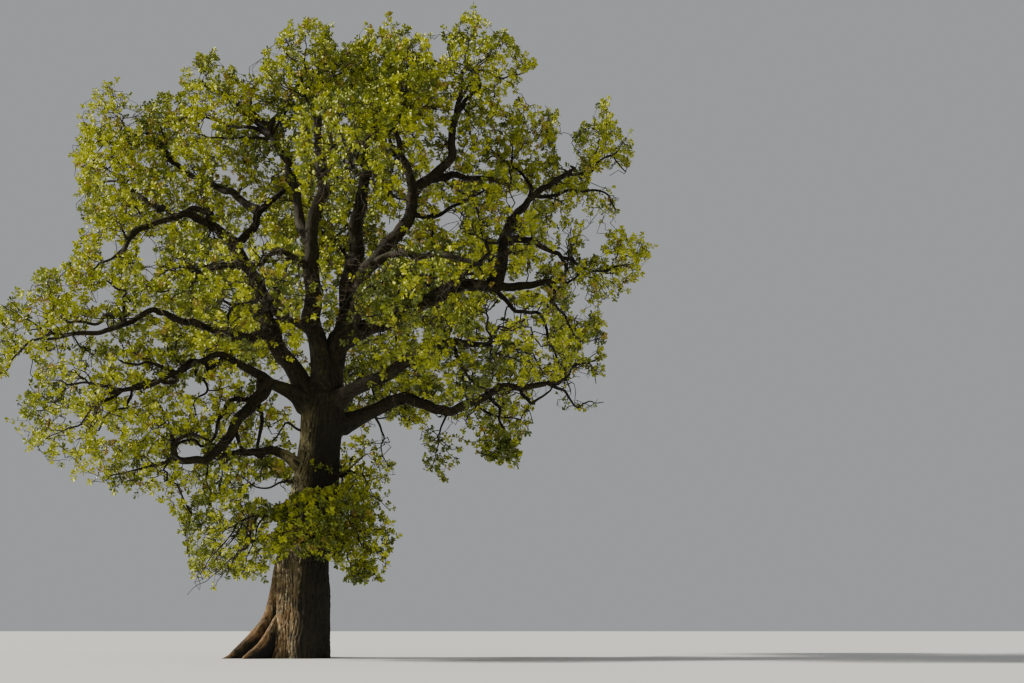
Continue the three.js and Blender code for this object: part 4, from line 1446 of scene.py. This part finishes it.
@dataclass(frozen=True)
class LeafShape:
    """One leaf of four triangles on six corners, widest near its tip and folded along its midrib.

    Attributes:
        length: metres from root to tip.
        outline: the corners, along and across as shares of the length, with the height above the midrib.
        faces: the triangles.
    """

    length: float = 0.160
    outline: tuple[tuple[float, float, float], ...] = (
        (0.00, 0.00, 0.00), (0.42, 0.20, 0.06), (0.78, 0.29, 0.05), (1.00, 0.00, -0.08),
        (0.74, -0.30, 0.05), (0.38, -0.21, 0.07),
    )
    faces: tuple[tuple[int, int, int], ...] = ((0, 2, 1), (0, 3, 2), (0, 4, 3), (0, 5, 4))

    def place(self, roots: Array, ways: Array, faces_up: Array, sizes: Array) -> tuple[Array, Array]:
        """Many leaves at once.

        Each corner is root + size (along way + across side + height normal).

        Args:
            roots: (n, 3) points.
            ways: (n, 3) unit directions from root to tip.
            faces_up: (n, 3) directions that the upper faces turn to.
            sizes: (n) shares of the length.

        Returns:
            (6 n, 3) corners and (4 n, 3) faces.
        """
        side = unit(np.cross(faces_up, ways))
        outline = (np.array(self.outline) * self.length)[None]
        local = outline[..., 0:1] * ways[:, None] + outline[..., 1:2] * side[:, None]
        local = local + outline[..., 2:3] * np.cross(ways, side)[:, None]
        corners = roots[:, None] + local * sizes[:, None, None]
        first = np.arange(len(roots))[:, None, None] * len(self.outline)
        return corners.reshape(-1, 3), (np.array(self.faces)[None] + first).reshape(-1, 3)


@dataclass
class Mass:
    """One mass of foliage: an ellipsoid about a stem from a bough's tip or the trunk."""

    size: MassSize
    start: Array
    tangent: Array
    stem_radius: float
    centre: Array = field(init=False)
    half: Array = field(init=False)
    stem_end: Array = field(init=False)
    stem_share: float = 0.4
    stem_least: float = 0.5
    stem_short: float = 0.66

    def __post_init__(self) -> None:
        """Finds the middle and the stem's end."""
        way = direction(self.size.rise, self.size.heading)
        reach = self.size.reach * MM
        self.half = self.size.half * MM
        self.centre = self.start + way * reach
        if self.size.bough == "trunk":
            self.tangent = way
            length = reach - self.stem_short * self.half.min()
        else:
            length = max(self.stem_share * reach, self.stem_least)
        self.stem_end = self.start + self.tangent * length

    @property
    def name(self) -> str:
        """The name of the node that it replaces."""
        return f"foliage_trunk_{self.size.side}" if self.size.side else f"foliage_{self.size.bough}"

    def depth(self, places: Array) -> Array:
        """How far out places lie in the ellipsoid: 0 at its middle and 1 on its surface."""
        return np.sqrt((((places - self.centre) / self.half) ** 2).sum(axis=1))

    def claim(self, places: Array) -> Array:
        """The squared distance less the squared mean half-size: each place belongs where this is least."""
        return ((places - self.centre) ** 2).sum(axis=1) - self.half.mean() ** 2


class Canopy:
    """All branches, twigs and leaves."""

    SEED = 20
    # Places for branches to reach: pairs give the boughs' value, then the finer boughs'.
    TRIES = 2600
    TRIES_PER_METRE = 150
    CELL = 0.79
    MASS_REACH = 0.90
    CORE = ((0.9, 0.3, 15.5), (5.2, 3.8, 6.5))
    CORE_SHARE = 0.45
    REACHED_FROM = (0.22, 0.0)
    LATERAL_REACH = (0.3, 1.7)
    BARE_FORK = 2.7
    LUMPS = LatticeNoise(5)
    GAP_SCALE = 1.3
    GAP_LEVEL = -0.42
    LIMB_MARGIN = 0.14
    BOX_MARGIN = 0.4
    BOX_SHARE = 0.02
    # Branches: stems with their rings and the share of the radius left at the end, then sides of the tubes.
    TWIG_RADIUS = 0.014
    TRUNK_STEM = 0.1
    ROOT_SPACING = 0.5
    ROOT_SHARE = 0.6
    ROOTED_FROM = (0.2, 0.1)
    HANDICAPS = (0.45, 0.1)
    STEM_RINGS = 5
    STEM_TAPER = 0.75
    FINER_SPACING = 0.12
    STOUT_BRANCH = 0.03
    SIDES = {"limb": 10, "stout": 6, "thin": 4, "shoot": 3}
    # Shoots: their ways are weighed along the branch, by chance, outwards and up.
    THIN_BRANCH = 0.045
    SHOOTS_EACH = 4
    SHOOTS_MORE = 3
    SHOOTS_PER_METRE = 5
    SHOOTS_FROM = (0.35, 0.25)
    SHOOT_WAYS = (0.45, 0.9, 0.3, 0.30)
    SHOOT_REACH = (1.02, 0.9)
    OPEN_SHARE = 0.42
    STRAY_SHARE = 0.14
    SHOOT_LENGTH = (0.24, 0.62)
    SHOOT_RADII = 0.008 * np.array([1.3, 0.5])
    # Tones, which paint light and shade into the leaves' tints: what each thing adds, and the way to the
    # light.
    TONE_UP = 0.010
    TONE_ASIDE = 0.050
    TONE_MIDDLE = (2, 14)
    TONE_DRIFT = 0.6
    DRIFT_SCALE = 2.2
    TONE_LIT = 1.3
    TONE_CHANCE = 0.45
    TO_LIGHT = 0.8 * np.array((-0.88, -0.05, 0.47))
    # Leaves: the share of the shoot where they start and its power, their opening in degrees and its loss
    # towards the tip, chance and up in their ways, and up and chance in their faces.
    LEAVES_EACH = 11
    LEAVES_FROM = 0.50
    LEAVES_POWER = 0.6
    OPENING = (84, 52)
    LEAF_WAYS = (0.25, 0.1)
    LEAF_FACES = (0.9, 0.75)
    LEAF_SIZES = (0.7, 1.2)
    # What is seen: margins in the view, each with the share of leaves left in front.
    SEEN_BOUGHS = (1.6, 0.07)
    SEEN_FINER = (1.0, 0.18)
    SEEN_BRANCHES = (0.4, 0.45)
    SEEN_SPACING = 0.1
    SEEN_TRUNK = (0.73, 1, 40)
    SEEN_TOP = 21.5
    SEEN_STEPS = 13
    BRANCHES_SEEN = (-1.0, 0.030)
    GAP_CHANCE = 1.2

    def __init__(self, trunk: Trunk, boughs: dict[str, Bough], finer: dict[str, Bough]) -> None:
        """Lays out the masses.

        Args:
            trunk: the trunk.
            boughs: the boughs by name.
            finer: the finer boughs by name.
        """
        self.trunk = trunk
        self.boughs = boughs
        self.finer = finer
        self.limbs = [(limb, kind) for kind, group in enumerate((boughs, finer)) for limb in group.values()]
        self.leaf = LeafShape()
        self.draw = np.random.default_rng(self.SEED)
        self.viewpoint = Viewpoint()
        self.masses = [self.lay_mass(size) for size in MASSES]
        self.parts = np.array([list(CanopyPart).index(mass.size.part) for mass in self.masses])
        low, high = np.array(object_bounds())
        self.low, self.high = low - self.BOX_SHARE * (high - low), high + self.BOX_SHARE * (high - low)

    def lay_mass(self, size: MassSize) -> Mass:
        """One mass, at its bough's tip or on the trunk."""
        if size.bough == "trunk":
            return Mass(size, self.trunk.route.at(size.at), UP, self.TRUNK_STEM)
        bough = self.boughs[size.bough]
        return Mass(size, bough.route.at(1.0), bough.route.along(1.0), bough.size.tip * MM)

    def owners(self, places: Array) -> Array:
        """The number of the mass that each place belongs to."""
        return np.stack([mass.claim(places) for mass in self.masses]).argmin(axis=0)

    def outness(self, places: Array, owners: Array) -> Array:
        """How far out places lie in their own mass."""
        return np.stack([mass.depth(places) for mass in self.masses])[owners, np.arange(len(places))]

    def knots(self) -> Array:
        """Places for the branches to reach.

        Candidates fill every mass, and a sleeve round each limb's outer part. Those too near a limb, near the
        fork, in a gap, outside the outline, or where a slow noise is low are dropped. Of those left, one is
        kept in each cell of a cubic lattice, and fewer in the shaded core.

        Returns:
            (n, 3) points.
        """
        groups = []
        for mass in self.masses:
            ball = self.draw.uniform(-1, 1, (self.TRIES, 3)) * self.MASS_REACH
            groups.append(mass.centre + ball[(ball**2).sum(axis=1) < self.MASS_REACH**2] * mass.half)
        for limb, kind in self.limbs:
            count = int(limb.route.length * self.TRIES_PER_METRE)
            share = self.draw.uniform(self.REACHED_FROM[kind], 1.0, count)
            aside = unit(self.draw.normal(size=(len(share), 3)))
            aside *= self.draw.uniform(*self.LATERAL_REACH, len(share))[:, None]
            groups.append(limb.route.at(share) + aside)
        places = np.vstack(groups)
        keep = LimbGuard([self.trunk, *self.boughs.values()]).gap(places) > self.LIMB_MARGIN
        keep &= np.linalg.norm(places - self.trunk.route.at(1.0), axis=1) > self.BARE_FORK
        dense = self.viewpoint.in_spots(places, DENSE_SPOTS)
        keep &= (self.LUMPS(places / self.GAP_SCALE) > self.GAP_LEVEL) | dense
        keep &= ~self.viewpoint.in_gaps(places, self.draw.random(len(places)))
        keep &= ~self.viewpoint.outside(places)
        margin = self.BOX_MARGIN
        keep &= ((places > self.low + margin) & (places < self.high - margin)).all(axis=1)
        places = places[keep]
        cells = np.floor(places / self.CELL).astype(np.int64)
        _, first = np.unique((cells * np.array([1, 1000, 1000000])).sum(axis=1), return_index=True)
        places = places[first]
        middle, half = np.array(self.CORE)
        in_core = (((places - middle) / half) ** 2).sum(axis=1) < 1
        return places[~in_core | (self.draw.random(len(places)) < self.CORE_SHARE)]

    def grow(self) -> Branching:
        """Grows the branches from the stems' ends and from points along every limb."""
        places = self.knots()
        roots = [mass.stem_end for mass in self.masses]
        headings = [mass.tangent for mass in self.masses]
        limits = [mass.stem_radius for mass in self.masses]
        handicaps = [0.0] * len(self.masses)
        for limb, kind in self.limbs:
            count = max(3, int(limb.route.length / self.ROOT_SPACING))
            share = np.linspace(self.ROOTED_FROM[kind], 1, count)
            roots += list(limb.route.at(share))
            headings += list(limb.route.along(share))
            limits += list(self.ROOT_SHARE * limb.limb_radius(share))
            handicaps += [self.HANDICAPS[kind]] * count
        ways = (np.array(roots), np.array(headings), np.array(limits), np.array(handicaps))
        return Branching.grow(*ways, places, self.TWIG_RADIUS)

    def shoots_on(self, tree: Branching) -> Shoots:
        """Leafy shoots along the outer part of each thin branch and along the finer boughs.

        Args:
            tree: the branches.

        Returns:
            The shoots.
        """
        draw, view = self.draw, self.viewpoint
        thin = np.flatnonzero(tree.radii[tree.roots:] < self.THIN_BRANCH) + tree.roots
        dense = view.in_spots(tree.places[thin], DENSE_SPOTS)
        chosen = np.repeat(thin, self.SHOOTS_EACH + self.SHOOTS_MORE * dense)
        on_branch, on_bough = self.SHOOTS_FROM
        share = draw.uniform(on_branch, 1.0, len(chosen))[:, None]
        parent = tree.places[tree.parents[chosen]]
        starts = [parent + (tree.places[chosen] - parent) * share]
        along = [tree.arrivals[chosen]]
        for limb in self.finer.values():
            if limb.size.leafy:
                places = draw.uniform(on_bough, 1.0, int(limb.route.length * self.SHOOTS_PER_METRE))
                starts.append(limb.route.at(places))
                along.append(limb.route.along(places))
        starts, along = np.vstack(starts), np.vstack(along)
        owners = self.owners(starts)
        centres = np.array([mass.centre for mass in self.masses])[owners]
        on, chance, out, up = self.SHOOT_WAYS
        ways = on * along + chance * unit(draw.normal(size=starts.shape)) + out * unit(starts - centres)
        shoots = Shoots(starts, unit(ways + up * UP), draw.uniform(*self.SHOOT_LENGTH, len(starts)))
        tips = shoots.points(np.ones((1, 1, 1)))[:, 0]
        furthest, already = self.SHOOT_REACH
        keep = (self.outness(tips, owners) <= furthest) | (self.outness(starts, owners) > already)
        keep &= ~view.in_gaps(tips, draw.random(len(tips)))
        keep &= ~view.in_spots(tips, OPEN_SPOTS) | (draw.random(len(tips)) < self.OPEN_SHARE)
        keep &= ~view.outside(tips) | (draw.random(len(tips)) < self.STRAY_SHARE)
        keep &= ((tips > self.low) & (tips < self.high)).all(axis=1)
        return shoots.chosen(keep)

    def tints(self, shoots: Shoots) -> Array:
        """The tint that each shoot's leaves are dealt, by how bright they are.

        They are brighter to both sides and high up, in part as painted light on the outer crown and painted
        shade within it, in slow drifts, by chance, and where the lumps thin out towards the light, as painted
        light on the lumps' lit sides and painted shade on their far sides: lumps(place) - lumps(place + 0.8 m
        to the light).

        Args:
            shoots: the shoots.

        Returns:
            (n) numbers, 0 for the brightest tint.
        """
        x, _, z = shoots.starts.T
        drift = LatticeNoise(6)(shoots.starts / self.DRIFT_SCALE)
        # Painted light and shade: where the lumps thin out towards the light the tints are brighter, on their
        # far sides deeper.
        towards = (shoots.starts + self.TO_LIGHT) / self.GAP_SCALE
        side = self.LUMPS(shoots.starts / self.GAP_SCALE) - self.LUMPS(towards)
        middle, level = self.TONE_MIDDLE
        # In part painted light and shade: brighter high up and to both sides, deeper inside the crown.
        tones = self.TONE_UP * (z - level) + self.TONE_ASIDE * np.abs(x - middle)
        tones = tones + self.TONE_DRIFT * drift + self.TONE_LIT * side
        tones = tones + self.draw.normal(0, self.TONE_CHANCE, len(x))
        limits = np.quantile(tones, 1 - np.cumsum(TINT_SHARES[:-2]))
        dealt = np.searchsorted(-limits, -tones)
        return np.where(self.draw.random(len(x)) < TINT_SHARES[-1], len(TINT_SHARES) - 1, dealt)

    def leaves_on(self, shoots: Shoots) -> tuple[Array, Array, Array, Array]:
        """Leaves round each shoot, opening less towards its tip, in turns of the golden angle.

        Args:
            shoots: the shoots.

        Returns:
            Roots, ways and upper directions, each (shoots, leaves, 3), and sizes, (shoots, leaves).
        """
        draw = self.draw
        number = np.arange(self.LEAVES_EACH)
        spaced = (1 - self.LEAVES_FROM) * (number / (self.LEAVES_EACH - 1)) ** self.LEAVES_POWER
        share = (self.LEAVES_FROM + spaced)[None, :, None]
        most, loss = self.OPENING
        opening = np.radians(most - loss * share**4)
        turn = number[None] * GOLDEN_TURN + draw.uniform(0, 2 * math.pi, len(shoots.lengths))[:, None]
        aside = round_about(*across_frames(shoots.ways, least_axis(shoots.ways[:, None])), turn)
        ways = np.cos(opening) * shoots.ways[:, None] + np.sin(opening) * aside
        chance, up = self.LEAF_WAYS
        ways = unit(ways + chance * draw.normal(size=ways.shape) + up * UP)
        up, chance = self.LEAF_FACES
        faces_up = unit(up * UP + chance * draw.normal(size=ways.shape))
        return shoots.points(share), ways, faces_up, draw.uniform(*self.LEAF_SIZES, ways.shape[:2])

    def seen_limbs(self, limbs: list[Bough], margin: float) -> LimbMap:
        """The map of those boughs, as far as they are seen, and of the trunk above its low shoots.

        Args:
            limbs: the boughs.
            margin: thousandths of the distance beyond their edges.

        Returns:
            The map.
        """
        counts = [max(2, int(limb.route.length / self.SEEN_SPACING)) for limb in limbs]
        spans = [(limb, 0, limb.size.seen, count) for limb, count in zip(limbs, counts)]
        centres, radii = balls_along([*spans, (self.trunk, *self.SEEN_TRUNK)])
        low = centres[:, 2] < self.SEEN_TOP
        return LimbMap(self.viewpoint, centres[low], radii[low], margin)

    def thinned(self, middles: Array, lines: Array, radii: Array) -> Array:
        """Which leaves stay: few of those in front of a limb or branch that is seen, and few in a gap.

        A shoot's leaves have the same chance, so that whole tufts stay. Where the photo's leaves stand close
        they hide the limbs, so all stay there.

        Args:
            middles: (n, 3) the leaves' middles.
            lines: (m, steps, 3) the branches' lines.
            radii: (m, steps) their radii.

        Returns:
            (n) True or False.
        """
        chance = np.repeat(self.draw.random(len(middles) // self.LEAVES_EACH), self.LEAVES_EACH)
        front = [b for b in self.boughs.values() if not b.name.startswith(("front", "back"))]
        furthest, thinnest = self.BRANCHES_SEEN
        near = (lines[:, 0, 1] < furthest) & (radii[:, -1] > thinnest)
        share = np.linspace(0, 1, self.SEEN_STEPS)[None, :, None]
        runs = lines[near, :-1, None] + share * (lines[near, 1:, None] - lines[near, :-1, None])
        thick = np.broadcast_to(radii[near, :-1, None], runs.shape[:-1])
        keep = np.ones(len(middles), bool)
        for limbs, (margin, left) in ((front, self.SEEN_BOUGHS), (self.finer.values(), self.SEEN_FINER)):
            keep &= ~self.seen_limbs(list(limbs), margin).hidden_by(middles) | (chance < left)
        margin, left = self.SEEN_BRANCHES
        branches = LimbMap(self.viewpoint, runs.reshape(-1, 3), thick.reshape(-1), margin)
        keep &= ~branches.hidden_by(middles) | (chance < left)
        keep |= self.viewpoint.in_spots(middles, DENSE_SPOTS)
        return keep & ~self.viewpoint.in_gaps(middles, np.clip(chance * self.GAP_CHANCE, 0, 1))

    def add_limbs(self, store: MeshStore, number: int) -> None:
        """Adds the stems and the finer boughs of a part of the canopy.

        Args:
            store: takes the surfaces.
            number: the part's number.
        """
        for mass in (self.masses[i] for i in np.flatnonzero(self.parts == number)):
            stem = np.linspace(0, 1, self.STEM_RINGS)[:, None] * (mass.stem_end - mass.start) + mass.start
            thick = np.linspace(mass.stem_radius, self.STEM_TAPER * mass.stem_radius, self.STEM_RINGS)
            store.add(*sticks(stem[None], thick[None], self.SIDES["limb"]))
        for limb in self.finer.values():
            if self.parts[self.owners(limb.route.at(0.5)[None])][0] == number:
                share = np.linspace(0, 1, int(limb.route.length / self.FINER_SPACING))
                thick = limb.limb_radius(share)
                store.add(*sticks(limb.route.at(share)[None], thick[None], self.SIDES["limb"]))

    def build(self) -> None:
        """Makes the joined pieces of every part of the canopy."""
        branch_bark = BranchFinish().material()
        twig_bark = PlainFinish.TWIG_BARK.material()
        leaf_tints = [finish.material() for finish in PlainFinish if finish.name.startswith("LEAF")]
        tree = self.grow()
        lines, radii = tree.lines(self.draw)
        line_parts = self.parts[self.owners(tree.places[tree.roots:])]
        shoots = self.shoots_on(tree)
        shoot_parts = self.parts[self.owners(shoots.starts)]
        tint = self.tints(shoots)
        leaves = self.leaves_on(shoots)
        middles = leaves[0] + leaves[1] * (0.5 * self.leaf.length * leaves[3])[..., None]
        stay = self.thinned(middles.reshape(-1, 3), lines, radii).reshape(leaves[3].shape)
        stout = radii[:, -1] > self.STOUT_BRANCH
        for number, part in enumerate(CanopyPart):
            nodes = [mass.name for mass in self.masses if mass.size.part is part]
            store = MeshStore()
            self.add_limbs(store, number)
            mine = line_parts == number
            for chosen, kind in ((mine & stout, "stout"), (mine & ~stout, "thin")):
                store.add(*sticks(lines[chosen], radii[chosen], self.SIDES[kind]))
            store.build(f"branches_{part.value}", [branch_bark], True, "bark", nodes)
            picked = shoots.chosen(shoot_parts == number)
            thin = np.broadcast_to(self.SHOOT_RADII, (len(picked.lengths), 2))
            store = MeshStore()
            store.add(*sticks(picked.points(np.array([0, 1.0])[None, :, None]), thin, self.SIDES["shoot"]))
            store.build(f"twigs_{part.value}", [twig_bark], True, "foliage", nodes)
            chosen = (shoot_parts == number)[:, None] & stay
            corners, faces = self.leaf.place(*(values[chosen] for values in leaves))
            each = np.broadcast_to(tint[:, None], chosen.shape)[chosen]
            store = MeshStore()
            store.add(corners, [faces], np.repeat(each, len(self.leaf.faces)))
            store.build(f"leaves_{part.value}", leaf_tints, False, "foliage", nodes)


# The studio


@dataclass(frozen=True)
class Studio:
    """A plain pale floor, soft light from the upper left, and the camera at the photo's place."""

    floor_half: float = 400.0
    sky_colour: Colour = (0.80, 0.82, 0.84, 1)
    sky_strength: float = 0.44
    sun_energy: float = 8.2
    sun_angle: float = 5.0
    sun_colour: tuple[float, float, float] = (1.0, 0.95, 0.86)
    sun_rotation: tuple[float, float, float] = (62.0, 0.0, -87.0)
    viewpoint: Viewpoint = Viewpoint()
    lens: float = 45.0
    sensor: float = 36.0
    furthest: float = 2000

    def build(self) -> None:
        """Makes the floor, the light and the camera."""
        h = self.floor_half
        mesh = bpy.data.meshes.new("floor")
        mesh.from_pydata([(-h, -h, 0), (h, -h, 0), (h, h, 0), (-h, h, 0)], [], [(0, 1, 2, 3)])
        mesh.materials.append(PlainFinish.FLOOR.material())
        link("floor", mesh)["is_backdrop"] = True
        world = bpy.context.scene.world or bpy.data.worlds.new("sky")
        bpy.context.scene.world = world
        world.use_nodes = True
        sky = next(n for n in world.node_tree.nodes if n.type == "BACKGROUND")
        sky.inputs["Color"].default_value = self.sky_colour
        sky.inputs["Strength"].default_value = self.sky_strength
        lamp = bpy.data.lights.new("sun", "SUN")
        lamp.energy = self.sun_energy
        lamp.angle = math.radians(self.sun_angle)
        lamp.color = self.sun_colour
        link("sun", lamp).rotation_euler = [math.radians(a) for a in self.sun_rotation]
        view = bpy.data.cameras.new("camera")
        view.lens = self.lens
        view.sensor_width = self.sensor
        view.clip_end = self.furthest
        camera = link("camera", view)
        camera.location = self.viewpoint.place
        camera.rotation_euler = (math.radians(90 + self.viewpoint.pitch), 0, 0)
        bpy.context.scene.camera = camera


# Putting it together


BOUGH_GROUPS = {
    "boughs_left": "left_low left_drooping left_leader left_reach low_left",
    "boughs_left_high": "left_arch left_upper left_high upper_left left_thin",
    "boughs_middle": "centre_left centre_right inner_right right_high",
    "boughs_right": "right_leader right_smooth right_upper right_rising right_far",
    "boughs_right_low": "right_mid right_low",
    "boughs_front_back": "front_left front_right front_high back_left back_right back_mid back_low",
}


def grow_boughs(sizes: list[BoughSize], carriers: dict[str, Trunk | Bough]) -> dict[str, Bough]:
    """The boughs of a table by name, each on one of the carriers or on a bough before it."""
    grown: dict[str, Bough] = {}
    for size in sizes:
        grown[size.name] = Bough(size, grown.get(size.carrier) or carriers[size.carrier])
    return grown


def build_limbs(trunk: Trunk, boughs: dict[str, Bough]) -> None:
    """Makes the pieces of the trunk and the boughs.

    Args:
        trunk: the trunk.
        boughs: the boughs by name.
    """
    bark = BarkFinish().material()
    store = MeshStore()
    trunk.mesh(store)
    store.build("trunk_bark", [bark], True, "bark", ["trunk"])
    for name, members in BOUGH_GROUPS.items():
        store = MeshStore()
        for member in members.split():
            boughs[member].mesh(store)
        store.build(name, [bark], True, "bark", [f"bough_{member}" for member in members.split()])


def main() -> None:
    """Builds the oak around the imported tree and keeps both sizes."""
    logging.basicConfig(level=logging.INFO, format="%(message)s")
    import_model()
    Studio().build()
    trunk = Trunk()
    boughs = grow_boughs(BOUGHS, {"trunk": trunk})
    build_limbs(trunk, boughs)
    finer = grow_boughs(FINER_BOUGHS, {"trunk": trunk, **boughs})
    Canopy(trunk, boughs, finer).build()


if __name__ == "__main__":
    main()
